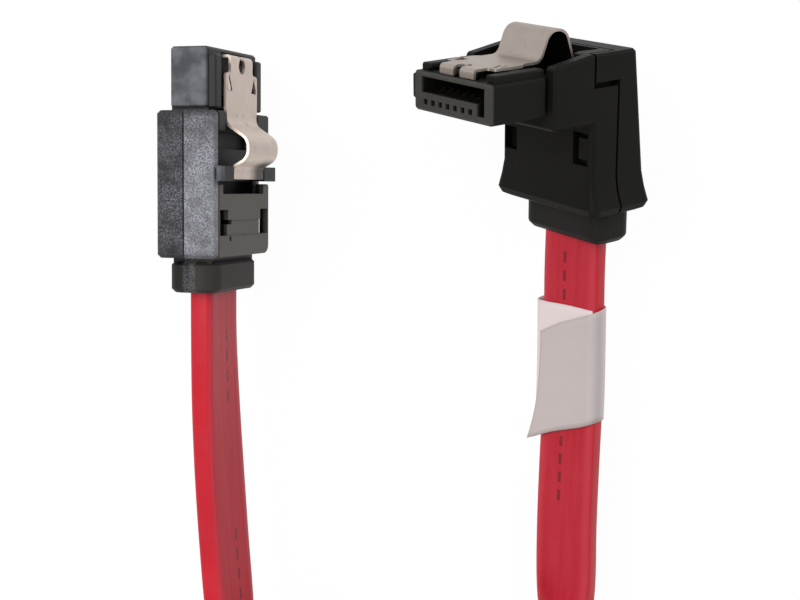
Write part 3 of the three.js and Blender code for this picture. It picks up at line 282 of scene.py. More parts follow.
class Finish(Wiring):
    """A material. The numbers given by socket name go straight onto its shader, and what varies is wired."""

    def __init__(self, name, **constants):
        self.material = bpy.data.materials.new(name)
        self.material.use_nodes = True
        super().__init__(self.material.node_tree)
        self.shader = self.tree.nodes["Principled BSDF"]
        self.feed(self.shader, {socket.replace("_", " "): value for socket, value in constants.items()})

    def place(self):
        return self.node("ShaderNodeTexCoord", {}, output="Object")

    def measured(self, origin, direction):
        """How far a point of the piece lies from an origin in one direction, in metres."""
        apart = self.node("ShaderNodeVectorMath", {0: self.place(), 1: tuple(origin)}, operation="SUBTRACT")
        inputs = {0: apart, 1: tuple(direction)}
        return self.node("ShaderNodeVectorMath", inputs, output="Value", operation="DOT_PRODUCT")

    def size_of(self, value):
        """The value without its sign."""
        return self.node("ShaderNodeMath", {0: value}, operation="ABSOLUTE")

    def noise(self, size, detail=2, where=None):
        """Soft random patches of about a size in metres, from 0 to 1."""
        inputs = {"Vector": where or self.place(), "Scale": 1 / size, "Detail": detail}
        return self.node("ShaderNodeTexNoise", inputs)

    def stretched(self, along, across, upright):
        """The place on the piece, squeezed so that a pattern of one unit is drawn out to these sizes."""
        inputs = {0: self.place(), 1: (1 / along, 1 / across, 1 / upright)}
        return self.node("ShaderNodeVectorMath", inputs, operation="MULTIPLY")

    def carried(self, name):
        """A number that the mesh carries at each point."""
        return self.node("ShaderNodeAttribute", {}, output="Fac", attribute_name=name)

    def step(self, value, low, high):
        """0 below low, 1 above high and smooth between them."""
        inputs = {"Value": value, "From Min": low, "From Max": high}
        return self.node("ShaderNodeMapRange", inputs, interpolation_type="SMOOTHSTEP")

    def blend(self, share, first, second):
        return self.node("ShaderNodeMix", {0: share, 6: first, 7: second}, output=2, data_type="RGBA")

    def relief(self, height, depth, strength=1.0):
        """Bumps as deep as depth where height goes from 0 to 1."""
        inputs = {"Height": height, "Distance": depth, "Strength": strength}
        self.feed(self.shader, {"Normal": self.node("ShaderNodeBump", inputs)})

    def coat(self, *pieces):
        for piece in pieces:
            piece.data.materials.clear()
            piece.data.materials.append(self.material)


def shade(red, green, blue):
    """A colour as it is seen on a screen, from 0 to 255."""
    shares = (red / 255, green / 255, blue / 255)
    linear = [share / 12.92 if share <= 0.04045 else ((share + 0.055) / 1.055) ** 2.4 for share in shares]
    return (*linear, 1)


ribbon = swept(
    "ribbon_cable",
    ribbon_places,
    ribbon_across,
    ribbon_faces,
    rounded_section(RIBBON_WIDTH / 2, RIBBON_THICKNESS / 2, RIBBON_CORNER, 4, 9, RIBBON_DIP),
)

jacket = Finish("red_jacket", Specular_IOR_Level=0.3)
cloudy = jacket.noise(0.004, detail=3)


def drawn_lines(line_width):
    """Faint lines along the jacket, left by the die."""
    inputs = {0: jacket.carried("along") * 60, 1: jacket.carried("sideways") / line_width}
    lines = {"Vector": jacket.node("ShaderNodeCombineXYZ", inputs), "Scale": 1.0, "Detail": 2}
    return jacket.node("ShaderNodeTexNoise", lines)


fine_lines = drawn_lines(0.00017)
wide_lines = drawn_lines(0.0009)
broad_face_sheen = jacket.step(jacket.size_of(jacket.carried("outwards")), 0.00085, 0.0012)
corner_highlight = jacket.step(jacket.size_of(jacket.carried("sideways")), 0.0024, 0.0031)
# Painted reflection: the broad faces get a paler red than the edge faces, for the white sky they reflect.
red = jacket.blend(broad_face_sheen, shade(212, 16, 40), shade(196, 42, 58))
red = jacket.blend(jacket.step(wide_lines, 0.4, 0.65) * 0.35, red, shade(176, 18, 38))
red = jacket.blend(jacket.step(fine_lines, 0.45, 0.75) * 0.2, red, shade(168, 16, 34))
# Painted highlight along the rounded corners of the broad faces.
red = jacket.blend(broad_face_sheen * corner_highlight * 0.3, red, shade(222, 78, 92))
red = jacket.blend(jacket.step(cloudy, 0.4, 0.8) * 0.25, red, shade(206, 62, 76))

# The print on the jacket is one row of plain dashes along a broad face, in groups.
PRINT_START = 0.0032
GROUP_PITCH = 0.0231
DASH_PITCH = 0.0023
ROW_OFF_MIDDLE = 0.0006
from_end = float(ribbon_run[-1]) - jacket.carried("along")
group = jacket.node("ShaderNodeMath", {0: (from_end - PRINT_START) / GROUP_PITCH}, operation="FRACT")
dash = jacket.node("ShaderNodeMath", {0: (from_end - PRINT_START) / DASH_PITCH}, operation="FRACT")
off_row = jacket.size_of(jacket.carried("sideways") + ROW_OFF_MIDDLE)
in_row = 1 - jacket.step(off_row, 0.00014, 0.00028)
on_face = jacket.step(jacket.carried("outwards"), 0.001, 0.0011)
in_dash = 1 - jacket.step(dash, 0.55, 0.62)
in_group = 1 - jacket.step(group, 0.38, 0.385)
ink = in_row * on_face * in_dash * in_group * (0.5 + cloudy * 0.3)
jacket.feed(jacket.shader, {"Base Color": jacket.blend(ink, red, shade(84, 16, 30))})
jacket.feed(jacket.shader, {"Roughness": 0.36 + cloudy * 0.12})
jacket.relief(fine_lines + wide_lines + jacket.noise(0.0009) * 0.5, 0.00003, 0.5)
jacket.coat(ribbon)
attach(ribbon, "cable")
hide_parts("cable_run_straight_end", "cable_run_angled_end", "cable_hank")

# Label. A strip of pale film with a soft face, wound loosely round the ribbon near the angled plug. Its two
# ends lie on each other on the broad face. It stands off one edge, and its free corner sticks out.
LABEL_WIDTH = 0.0138
LABEL_SHEET = 0.00012
LABEL_FROM_PLUG = 0.0097
LABEL_FLARE = 0.00135
LABEL_LIFT = 0.0003
LABEL_ROWS = 18
LABEL_COLUMNS = 90
WRAP_STEP = 0.0003

# Across and out on the ribbon's section, and how far that part of the strip is shifted away from the plug.
LABEL_WRAP = [
    (0.0034, 0.00134, 0.0002),
    (0.0, 0.00139, 0.0),
    (-0.0032, 0.00141, 0.0),
    (-0.0044, 0.0011, 0.0),
    (-0.0046, 0.0, 0.0),
    (-0.0044, -0.0011, 0.0),
    (-0.0032, -0.00146, 0.0),
    (0.0, -0.00146, 0.0001),
    (0.0033, -0.00145, 0.0002),
    (0.00386, -0.0009, 0.0002),
    (0.00388, 0.0009, 0.0003),
    (0.0034, 0.00166, 0.0005),
    (0.002, 0.00169, 0.0011),
    (-0.001, 0.00173, 0.0023),
    (-0.0028, 0.00176, 0.0033),
    (-0.0036, 0.00172, 0.0037),
]


def on_ribbon(distance_from_end, across, out):
    """The point at a distance back from the angled end of the ribbon, from the two places on its section."""
    run = ribbon_run[-1] - distance_from_end
    point = [np.interp(run, ribbon_run, ribbon_places[:, k]) for k in range(3)]
    width = np.array([np.interp(run, ribbon_run, ribbon_across[:, k]) for k in range(3)])
    face = np.array([np.interp(run, ribbon_run, ribbon_faces[:, k]) for k in range(3)])
    return np.array(point) + width * across + face * out


wrap = smooth_line([(across, out, 0, shift) for across, out, shift in LABEL_WRAP], WRAP_STEP)
wrap_run = np.concatenate([[0], np.cumsum(np.linalg.norm(np.diff(wrap[:, :2], axis=0), axis=1))])
column_size = LABEL_ROWS + 1
label_vertices = []
for column in range(LABEL_COLUMNS + 1):
    run = wrap_run[-1] * column / LABEL_COLUMNS
    across, out, shift = (np.interp(run, wrap_run, wrap[:, k]) for k in (0, 1, 3))
    # Only the last fifth of the strip flares and lifts.
    end_share = max(0.0, run / wrap_run[-1] * 5 - 4)
    for row in range(column_size):
        down = row / LABEL_ROWS
        flare = LABEL_FLARE * end_share * down**3
        lift = LABEL_LIFT * end_share * down
        distance = LABEL_FROM_PLUG + shift + LABEL_WIDTH * down
        label_vertices.append(on_ribbon(distance, across - flare, out + lift))
label_cells = []
for column in range(LABEL_COLUMNS):
    for row in range(LABEL_ROWS):
        first = column * column_size + row
        label_cells.append((first, first + column_size, first + column_size + 1, first + 1))
label_mesh = bpy.data.meshes.new("label_strip")
label_mesh.from_pydata([tuple(v) for v in label_vertices], [], label_cells)
for polygon in label_mesh.polygons:
    polygon.use_smooth = True
wound = label_mesh.attributes.new("wound", "FLOAT", "POINT")
wound_shares = np.repeat(np.linspace(0, 1, LABEL_COLUMNS + 1), column_size)
wound.data.foreach_set("value", wound_shares.astype(np.float32))
label = bpy.data.objects.new("label_strip", label_mesh)
bpy.context.scene.collection.objects.link(label)
film_thickness = label.modifiers.new("film", "SOLIDIFY")
film_thickness.thickness = LABEL_SHEET
film_thickness.offset = 0

film = Finish("label_film", Specular_IOR_Level=0.3)
mottle = film.noise(0.003, detail=4)
fibre = film.noise(0.00025, detail=2)
# The outer turn is coloured a little darker and greyer than the inner one.
inner_turn_film = film.blend(mottle * 0.4 + fibre * 0.2, shade(244, 230, 230), shade(234, 220, 220))
outer_turn_film = film.blend(mottle * 0.6 + fibre * 0.2, shade(210, 200, 198), shade(199, 190, 188))
outer_turn = film.step(film.carried("wound"), 0.66, 0.72)
film.feed(film.shader, {"Base Color": film.blend(outer_turn, inner_turn_film, outer_turn_film)})
film.feed(film.shader, {"Roughness": 0.5 + fibre * 0.15})
film.relief(mottle + fibre * 0.3, 0.00003, 0.4)
film.coat(label)
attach(label, "cable")
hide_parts("label_flag")

# Twist tie. A flat strip of black plastic with a steel wire inside, put round the two strands of the hank.
# Its ends are twisted together by hand and laid down along the strands.
TIE_WIDTH = 0.004
TIE_SHEET = 0.0004
TIE_SIDE_GAP = 0.0004
TIE_TOP_GAP = 0.00045
TIE_LOW = 0.0003
TIE_TOP = TIED_HEIGHT + RIBBON_WIDTH / 2 + TIE_TOP_GAP
TIE_LEFT = HANK_MIDDLE - HANK_OUTER_RADIUS - RIBBON_THICKNESS / 2 - TIE_SIDE_GAP
TIE_RIGHT = HANK_MIDDLE - HANK_OUTER_RADIUS + HANK_PITCH + RIBBON_THICKNESS / 2 + TIE_SIDE_GAP
TIE_ROUNDING = 0.0006
TAIL_LENGTH = 0.0095
TAIL_TURNS = 2.5
TAIL_STEPS = 40
TAIL_SPREAD = 0.00042
TAIL_RISE = 0.00095
TAIL_DROP = 0.0003

tie_middle = (TIE_LEFT + TIE_RIGHT) / 2
tie_corners = [(TIE_RIGHT, TIE_TOP), (TIE_LEFT, TIE_TOP), (TIE_LEFT, TIE_LOW), (TIE_RIGHT, TIE_LOW)]
loop = []
for quarter, (x, z) in enumerate(tie_corners):
    inward_x = -TIE_ROUNDING if quarter in (0, 3) else TIE_ROUNDING
    inward_z = -TIE_ROUNDING if quarter < 2 else TIE_ROUNDING
    for i in range(6):
        angle = math.radians(90 * quarter + 90 * i / 5)
        loop_x = x + inward_x + TIE_ROUNDING * math.cos(angle)
        loop_z = z + inward_z + TIE_ROUNDING * math.sin(angle)
        loop.append((loop_x, loop_z))
flat_strip = rounded_section(TIE_WIDTH / 2, TIE_SHEET / 2, TIE_SHEET / 2.2, 3, 5, -TIE_SHEET / 4)
closed_loop = np.array([(x, TIE_Y, z) for x, z in loop + loop[:1]])
loop_tangents = np.gradient(closed_loop, axis=0)
loop_tangents[0] = loop_tangents[-1] = closed_loop[1] - closed_loop[-2]
loop_tangents /= np.linalg.norm(loop_tangents, axis=1)[:, None]
loop_across = np.tile((0.0, 1.0, 0.0), (len(closed_loop), 1))
loop_faces = np.cross(loop_across, loop_tangents)
band = swept("tie_band", closed_loop, loop_across, loop_faces, flat_strip, attributes=False)

tie_black = Finish("tie_plastic", Roughness=0.45, Specular_IOR_Level=0.4)
tie_grain = tie_black.noise(0.0003, detail=3)
tie_colour = tie_black.blend(tie_grain, shade(34, 34, 36), shade(48, 48, 50))
tie_black.feed(tie_black.shader, {"Base Color": tie_colour})
tie_black.relief(tie_grain, 0.00003, 0.5)
folded_strip = rounded_section(TIE_WIDTH / 5, TIE_SHEET / 2, TIE_SHEET / 2.2, 3, 3, -TIE_SHEET / 4)
tie_pieces = [band]
for side in (0, 1):
    tail = []
    tail_across = []
    for i in range(TAIL_STEPS + 1):
        share = i / TAIL_STEPS
        angle = math.radians(360 * TAIL_TURNS * share + 180 * side)
        tail_x = tie_middle + TAIL_SPREAD * math.cos(angle)
        tail_z = TIE_TOP + TAIL_RISE + TAIL_SPREAD * math.sin(angle) - TAIL_DROP * share
        tail.append((tail_x, TIE_Y - TAIL_LENGTH * share, tail_z))
        tail_across.append((-math.sin(angle), 0.0, math.cos(angle)))
    tail = np.array(tail)
    tail_across = np.array(tail_across)
    tail_tangents = np.gradient(tail, axis=0)
    tail_tangents /= np.linalg.norm(tail_tangents, axis=1)[:, None]
    tail_faces = np.cross(tail_across, tail_tangents)
    tail_name = f"tie_tail_{side + 1}"
    tie_pieces.append(swept(tail_name, tail, tail_across, tail_faces, folded_strip, attributes=False))
tie_black.coat(*tie_pieces)
for piece in tie_pieces:
    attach(piece, "cable")
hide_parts("twist_tie")

# Moulded pieces of both plugs. Their shapes are the frame's own solids: here each gets the small round edges
# that a mould leaves, and the finish of its plastic.
EDGE_ANGLE = math.radians(26)
FLAT_ANGLE = math.radians(0.5)
WELD_DISTANCE = 1e-6


def soften(node_name, radius, segments=2):
    """Rounds the sharp edges of one of the frame's solids and shades it smoothly."""
    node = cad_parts[node_name]
    if "custom_normal" in node.data.attributes:
        node.data.attributes.remove(node.data.attributes["custom_normal"])
    for polygon in node.data.polygons:
        polygon.use_smooth = True
    weld = node.modifiers.new("weld", "WELD")
    weld.merge_threshold = WELD_DISTANCE
    flat_faces = node.modifiers.new("flat_faces", "DECIMATE")
    flat_faces.decimate_type = "DISSOLVE"
    flat_faces.angle_limit = FLAT_ANGLE
    edges = node.modifiers.new("edges", "BEVEL")
    edges.width = radius
    edges.segments = segments
    edges.limit_method = "ANGLE"
    edges.angle_limit = EDGE_ANGLE
    edges.harden_normals = True
    shading = node.modifiers.new("shading", "WEIGHTED_NORMAL")
    shading.keep_sharp = True
    return node


def plug_frame(place, turn, pitch, lean):
    """Where a plug lies: its place, and its turn about z, pitch about x and lean about y in degrees."""
    turned = Matrix.Rotation(math.radians(turn), 4, "Z") @ Matrix.Rotation(math.radians(pitch), 4, "X")
    return Matrix.Translation(place) @ turned @ Matrix.Rotation(math.radians(lean), 4, "Y")


straight_plug = plug_frame((-0.02113, -0.01136, 0.009138), 0.46, -4.61, -29.67)
angled_plug = plug_frame((0.0033, 0.00487, 0.01837), 4.63, 9.04, 25.04)

# Straight plug's overmould. Soft black vinyl with a coarse spark-eroded grain, moulded round the back of the
# plug in one shot with the collar that grips the ribbon. The half of the mould next to the cover left the
# coarser grain. The glints on the grain are painted pale specks, and the edge by the cover has a painted
# highlight.
BODY_MIDDLE = 0.0079
overmould = soften("straight_overmould", 0.00022, 3)
grained = Finish("grained_vinyl", Specular_IOR_Level=0.25)
to_cover = grained.measured(straight_plug.translation, straight_plug.col[0].xyz)
to_nose = grained.measured(straight_plug.translation, straight_plug.col[1].xyz)
cover_half = grained.step(to_cover, -0.0002, 0.0)
cover_edge_highlight = grained.step(to_cover, 0.0029, 0.0034)
seam_strip = 1 - grained.step(grained.size_of(to_cover + 0.0001), 0.0005, 0.0009)
on_collar = 1 - grained.step(to_nose, -0.0003, 0.0001)
pits = grained.noise(0.00017, detail=5)
patches = grained.noise(0.0022, detail=4)
near_nose = grained.step(to_nose, 0.0075, 0.015)
near_ends = grained.step(grained.size_of(to_nose - BODY_MIDDLE), 0.0068, 0.0078)
body_share = (0.4 + cover_half * 0.6) * (1 - on_collar) * (1 - near_ends * 0.6)
grain_share = body_share + on_collar * seam_strip * 0.3
# The grain's raised specks. They set the roughness, and also mark where glints of light are painted.
grain_and_glints = grained.step(pits, 0.34, 0.72) * grained.step(patches, 0.2, 0.65) * grain_share
dark_grain = grained.blend(patches, shade(20, 20, 24), shade(38, 38, 42))
grey_grain = grained.blend(patches, shade(82, 82, 87), shade(122, 121, 127))
grain_tone_and_highlight = grained.blend(cover_half, dark_grain, grey_grain)
# Painted highlight along the edge next to the cover.
grain_tone_and_highlight = grained.blend(cover_edge_highlight * 0.5, grain_tone_and_highlight, shade(150, 151, 158))
# Coloured darker towards the nose and at both ends of the body.
grain_tone_and_highlight = grained.blend(near_nose * 0.5 + near_ends * 0.4, grain_tone_and_highlight, shade(32, 32, 35))
smooth_collar = grained.blend(cover_half, shade(12, 12, 11), shade(46, 43, 41))
body_grain = grained.blend(on_collar, grain_tone_and_highlight, smooth_collar)
# Painted glints: pale bluish specks on the grain, fewer towards the nose.
painted_glint_share = grain_and_glints * (0.78 - near_nose * 0.2)
grained.feed(grained.shader, {"Base Color": grained.blend(painted_glint_share, body_grain, shade(198, 199, 210))})
grained.feed(grained.shader, {"Roughness": 0.6 - grain_and_glints * 0.25})
grained.relief(pits * grain_share, 0.00006, 0.8)
grained.coat(overmould)

# Straight plug's contact housing and cover. Glass filled nylon: the housing holds the contacts and carries
# the nose, and the cover snaps over two lugs behind it. The nose's side that faces up to the left has a
# painted grey sheen, and what lies below the cover's face is painted near black as shade.
housing = soften("straight_housing", 0.0001)
cover = soften("straight_cover", 0.00008)
nylon = Finish("dark_nylon", Specular_IOR_Level=0.2)
worn = nylon.noise(0.0028, detail=4)
fine = nylon.noise(0.0003, detail=2)
sideways = nylon.measured(straight_plug.translation, straight_plug.col[2].xyz)
sheen_side = nylon.step(sideways, 0.0063, 0.0066)
forwards = nylon.measured(straight_plug.translation, straight_plug.col[1].xyz)
on_body = 1 - nylon.step(forwards, 0.0155, 0.0159)
outwards = nylon.measured(straight_plug.translation, straight_plug.col[0].xyz)
shaded_below_cover = 1 - nylon.step(outwards, 0.0027, 0.003)
plain_nylon = nylon.blend(worn, shade(38, 38, 39), shade(52, 52, 53))
# Painted sheen: the nose's side towards the upper left is coloured bluish grey.
sheen_grey_nylon = nylon.blend(nylon.step(worn, 0.36, 0.66), shade(68, 69, 74), shade(114, 115, 121))
faces_nylon = nylon.blend(sheen_side, plain_nylon, sheen_grey_nylon)
# Painted shade: the body's recesses and pits below the cover's level are painted near black.
nylon.feed(nylon.shader, {"Base Color": nylon.blend(on_body * shaded_below_cover, faces_nylon, shade(14, 14, 14))})
nylon.feed(nylon.shader, {"Roughness": 0.4 + worn * 0.16 + fine * 0.05})
nylon.relief(fine + worn, 0.00002, 0.5)
nylon.coat(housing)

cover_nylon = Finish("cover_nylon", Specular_IOR_Level=0.25)
haze = cover_nylon.noise(0.003, detail=4)
cover_fine = cover_nylon.noise(0.0003, detail=2)
cover_outwards = cover_nylon.measured(straight_plug.translation, straight_plug.col[0].xyz)
unshaded_outer_face = cover_nylon.step(cover_outwards, 0.0028, 0.0031)
hazy_nylon = cover_nylon.blend(haze, shade(84, 81, 76), shade(100, 96, 91))
# Painted shade: the cover below its outer face, inside the windows and round the rims, is painted near black.
cover_colour = cover_nylon.blend(unshaded_outer_face, shade(16, 16, 15), hazy_nylon)
cover_nylon.feed(cover_nylon.shader, {"Base Color": cover_colour})
cover_nylon.feed(cover_nylon.shader, {"Roughness": 0.45 + haze * 0.12})
cover_nylon.relief(cover_fine + haze, 0.00002, 0.4)
cover_nylon.coat(cover)

# Press latches. Each is one strip of stainless sheet, stamped and folded: two prongs hook the nose, two
# lanced barbs catch the socket, and pressing the hump frees them.
SHEET = 0.0003
NOSE_HEIGHT = 0.0044
LATCH_FLAT = NOSE_HEIGHT + 0.0008 + SHEET / 2
LATCH_TIP = -0.0008
PRONG_LOW = NOSE_HEIGHT
LATCH_HALF = 0.00415
PRONG_HALF = 0.00285
PRONG_SLOT_HALF = 0.00055
PRONG_EYE = 0.00085
SHOULDER = -0.0026
FLAT_END = -0.0065
WINDOW_TIP = -0.00275
WINDOW_BASE = -0.00455
WINDOW_INSET = 0.00045
BEND_STEPS = 12


def round_corners(corners, steps):
    """The corners [u, v, radius] as a polyline, each bend as an arc."""
    points = []
    for i, (u, v, radius) in enumerate(corners):
        if not radius:
            points.append(Vector((u, v)))
            continue
        corner = Vector((u, v))
        back = (Vector(corners[i - 1][:2]) - corner).normalized()
        ahead = (Vector(corners[(i + 1) % len(corners)][:2]) - corner).normalized()
        half = back.angle(ahead) / 2
        middle = corner + (back + ahead).normalized() * (radius / math.sin(half))
        start = corner + back * (radius / math.tan(half)) - middle
        sweep = start.angle_signed(corner + ahead * (radius / math.tan(half)) - middle)
        for k in range(steps + 1):
            turn = Matrix.Rotation(-sweep * k / steps, 2)
            points.append(middle + turn @ start)
    return points


def prism(name, outline, low, high, plane):
    """A closed solid: the outline moved from low to high. plane turns (u, v, height) into x, y, z."""
    count = len(outline)
    vertices = [plane(u, v, height) for height in (low, high) for u, v in outline]
    polygons = [(i, (i + 1) % count, count + (i + 1) % count, count + i) for i in range(count)]
    polygons += [tuple(reversed(range(count))), tuple(range(count, 2 * count))]
    mesh = bpy.data.meshes.new(name)
    mesh.from_pydata(vertices, [], polygons)
    mesh.update()
    piece = bpy.data.objects.new(name, mesh)
    bpy.context.scene.collection.objects.link(piece)
    normals_out(mesh)
    return piece


def normals_out(mesh):
    """Turns a closed mesh's faces to point out."""
    form = bmesh.new()
    form.from_mesh(mesh)
    bmesh.ops.recalc_face_normals(form, faces=form.faces)
    form.to_mesh(mesh)
    form.free()


def carve(piece, tools, operation):
    """Cuts or keeps a piece by other solids, which are used up."""
    for tool in tools:
        change = piece.modifiers.new("carve", "BOOLEAN")
        change.object = tool
        change.operation = operation
        change.solver = "EXACT"
        evaluated = piece.evaluated_get(bpy.context.evaluated_depsgraph_get())
        shape = bpy.data.meshes.new_from_object(evaluated)
        piece.modifiers.clear()
        piece.data = shape
        bpy.data.objects.remove(tool)


def strip_outline(line, thickness):
    """The closed outline of a bent strip of even thickness about a line."""
    left, right = [], []
    for i, point in enumerate(line):
        arriving = (point - line[max(i - 1, 0)]).normalized()
        leaving = (line[min(i + 1, len(line) - 1)] - point).normalized()
        along = (arriving + leaving).normalized()
        side = Vector((-along.y, along.x)) * thickness / 2
        left.append(point + side)
        right.append(point - side)
    return left + right[::-1]


def flat_plan(across, run, height):
    """The place in the nose frame of a point of the latch's flat plan."""
    return across, height, run


def latch(name, nose, neck_half, foot, front, rear, crest, hump_radius, tail_bend, tail_height, tail_end):
    """One latch in the nose frame: x across, y up from the nose's foot, z out of the mating face."""
    profile = round_corners(
        [
            (PRONG_LOW, LATCH_TIP, 0),
            (LATCH_FLAT, LATCH_TIP, 0.00035),
            (LATCH_FLAT, -foot, 0.0013),
            (crest, -front, hump_radius),
            (crest, -rear, hump_radius),
            (tail_height, -tail_bend, 0.0007),
            (tail_height, -tail_end, 0),
        ],
        BEND_STEPS,
    )
    clean = [p for i, p in enumerate(profile) if i == 0 or (p - profile[i - 1]).length > 1e-6]
    side_view = [(p.x, p.y) for p in strip_outline(clean, SHEET)]
    strip = prism(name, side_view, -LATCH_HALF, LATCH_HALF, lambda u, v, height: (height, u, v))
    plan_half = [
        (PRONG_HALF - 0.0001, 0.0002, 0),
        (PRONG_HALF + 0.0001, -0.0016, 0.0004),
        (PRONG_HALF, SHOULDER, 0.0004),
        (LATCH_HALF, SHOULDER - 0.00005, 0.00035),
        (LATCH_HALF, FLAT_END, 0.0004),
        (neck_half, FLAT_END - 0.0007, 0.0004),
        (neck_half, -tail_end - 0.001, 0),
    ]
    right_half = round_corners(plan_half, 5)
    plan = [(p.x, p.y) for p in right_half] + [(-p.x, p.y) for p in reversed(right_half)]
    reach = (0, crest + 0.001)
    carve(strip, [prism("plan", plan, *reach, flat_plan)], "INTERSECT")
    eye_middle = SHOULDER + PRONG_EYE
    eye = [
        (PRONG_EYE * math.sin(math.radians(15 * i)), eye_middle + PRONG_EYE * math.cos(math.radians(15 * i)))
        for i in range(24)
    ]
    slot = [
        (-PRONG_SLOT_HALF, 0.001),
        (-PRONG_SLOT_HALF, eye_middle),
        (PRONG_SLOT_HALF, eye_middle),
        (PRONG_SLOT_HALF, 0.001),
    ]
    tools = [prism("eye", eye, *reach, flat_plan), prism("slot", slot, *reach, flat_plan)]
    for side in (-1, 1):
        window = [
            (side * (LATCH_HALF - 0.0008), WINDOW_TIP),
            (side * (LATCH_HALF - WINDOW_INSET), WINDOW_BASE),
            (side * (LATCH_HALF - 0.0016), WINDOW_BASE),
        ]
        tools.append(prism("window", window, *reach, flat_plan))
    carve(strip, tools, "DIFFERENCE")
    normals_out(strip.data)
    for polygon in strip.data.polygons:
        polygon.use_smooth = True
    edges = strip.modifiers.new("edges", "BEVEL")
    edges.width = 0.00004
    edges.segments = 2
    edges.limit_method = "ANGLE"
    edges.angle_limit = math.radians(40)
    edges.harden_normals = True
    strip.matrix_world = nose
    return strip


def barb(name, nose, side):
    """One lanced tongue beside a barb window, a small blade that stands up from the sheet."""
    low = LATCH_FLAT + SHEET / 2 - 0.00005
    outer = side * (LATCH_HALF - WINDOW_INSET)
    inner = side * (LATCH_HALF - 0.00065)
    blade_side = [
        (WINDOW_TIP - 0.0001, low),
        (WINDOW_BASE - 0.0001, low),
        (WINDOW_BASE, low + 0.0003),
        (WINDOW_BASE + 0.0004, low + 0.00027),
    ]
    blade = prism(name, blade_side, min(outer, inner), max(outer, inner), lambda u, v, height: (height, v, u))
    rounding = blade.modifiers.new("edges", "BEVEL")
    rounding.width = 0.00005
    rounding.segments = 2
    blade.matrix_world = nose
    return blade


NOSE_FOOT = -0.0021
NOSE_FACE = 0.0226
straight_nose = straight_plug @ Matrix(
    ((0, 1, 0, NOSE_FOOT), (0, 0, 1, NOSE_FACE), (1, 0, 0, 0), (0, 0, 0, 1))
)
angled_nose = angled_plug @ Matrix(((0, 0, -1, 0), (0, 1, 0, 0), (1, 0, 0, 0), (0, 0, 0, 1)))


def stainless(name, light, dark, tail_bend):
    """Rolled sheet with brush lines and scuffs. Its inner side has painted shade, and the far side of its tail
    a painted dark reflection.
    """
    steel = Finish(name, Metallic=1.0)
    brush_lines = {"Vector": steel.stretched(0.00006, 0.002, 0.002), "Scale": 1.0, "Detail": 3}
    brushed = steel.node("ShaderNodeTexNoise", brush_lines)
    smears = steel.noise(0.0015, detail=3)
    bare_steel = steel.blend(smears * 0.5 + brushed * 0.4, light, dark)
    scuffs = steel.step(steel.noise(0.0011, detail=4), 0.6, 0.72)
    faces = steel.node("ShaderNodeTexCoord", {}, output="Normal")
    inputs = {0: faces, 1: (0, 1, 0)}
    faces_up = steel.node("ShaderNodeVectorMath", inputs, output="Value", operation="DOT_PRODUCT")
    # Painted shade on the faces that look down, inside the hump.
    shaded_underside = 1 - steel.step(faces_up, -0.3, -0.12)
    on_tail = steel.step(steel.measured((0, 0, -tail_bend), (0, 0, -1)), -0.001, -0.0002)
    far_side = 1 - steel.step(steel.measured((0, 0, 0), (1, 0, 0)), -0.0026, 0.0004)
    scuffed_steel = steel.blend(scuffs * 0.35, bare_steel, shade(120, 110, 106))
    # Painted dark reflection on the far side of the tail, past its bend.
    shaded_steel = steel.blend(on_tail * far_side * 0.9, scuffed_steel, shade(40, 37, 34))
    steel.feed(steel.shader, {"Base Color": steel.blend(shaded_underside, shaded_steel, shade(52, 48, 45))})
    steel.feed(steel.shader, {"Roughness": 0.34 + brushed * 0.15 + smears * 0.1})
    steel.relief(brushed, 0.000008, 0.6)
    return steel


LATCHES = {
    "straight_latch": {
        "nose": straight_nose,
        "neck_half": 0.004,
        "foot": 0.0081,
        "front": 0.0098,
        "rear": 0.0118,
        "crest": 0.00795,
        "hump_radius": 0.00145,
        "tail_bend": 0.01275,
        "tail_height": 0.0062,
        "tail_end": 0.0141,
    },
    "angled_latch": {
        "nose": angled_nose,
        "neck_half": 0.00355,
        "foot": 0.0095,
        "front": 0.0108,
        "rear": 0.0132,
        "crest": 0.0086,
        "hump_radius": 0.0016,
        "tail_bend": 0.0146,
        "tail_height": 0.0044,
        "tail_end": 0.0166,
    },
}
LATCH_SHADES = {
    "straight_latch": (shade(212, 198, 188), shade(188, 175, 166)),
    "angled_latch": (shade(176, 166, 157), shade(154, 144, 136)),
}
for node_name, sizes in LATCHES.items():
    steel = stainless(node_name + "_steel", *LATCH_SHADES[node_name], sizes["tail_bend"])
    strip = latch(node_name + "_spring", **sizes)
    blades = [barb(f"{node_name}_barb_{i + 1}", sizes["nose"], side) for i, side in enumerate((-1, 1))]
    for piece in (strip, *blades):
        steel.coat(piece)
        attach(piece, node_name)
    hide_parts(node_name)

# Contacts. Fourteen phosphor bronze springs, gold plated where they touch, pressed into the housings from
# behind.
plated = Finish("gold_plating", Metallic=1.0, Roughness=0.35)
tarnish = plated.noise(0.0004, detail=3)
plated.feed(plated.shader, {"Base Color": plated.blend(tarnish, shade(158, 134, 86), shade(116, 94, 58))})
plated.relief(tarnish, 0.00001, 0.5)
for plug in ("straight", "angled"):
    for i in range(7):
        plated.coat(soften(f"{plug}_contact_{i + 1}", 0.00003))

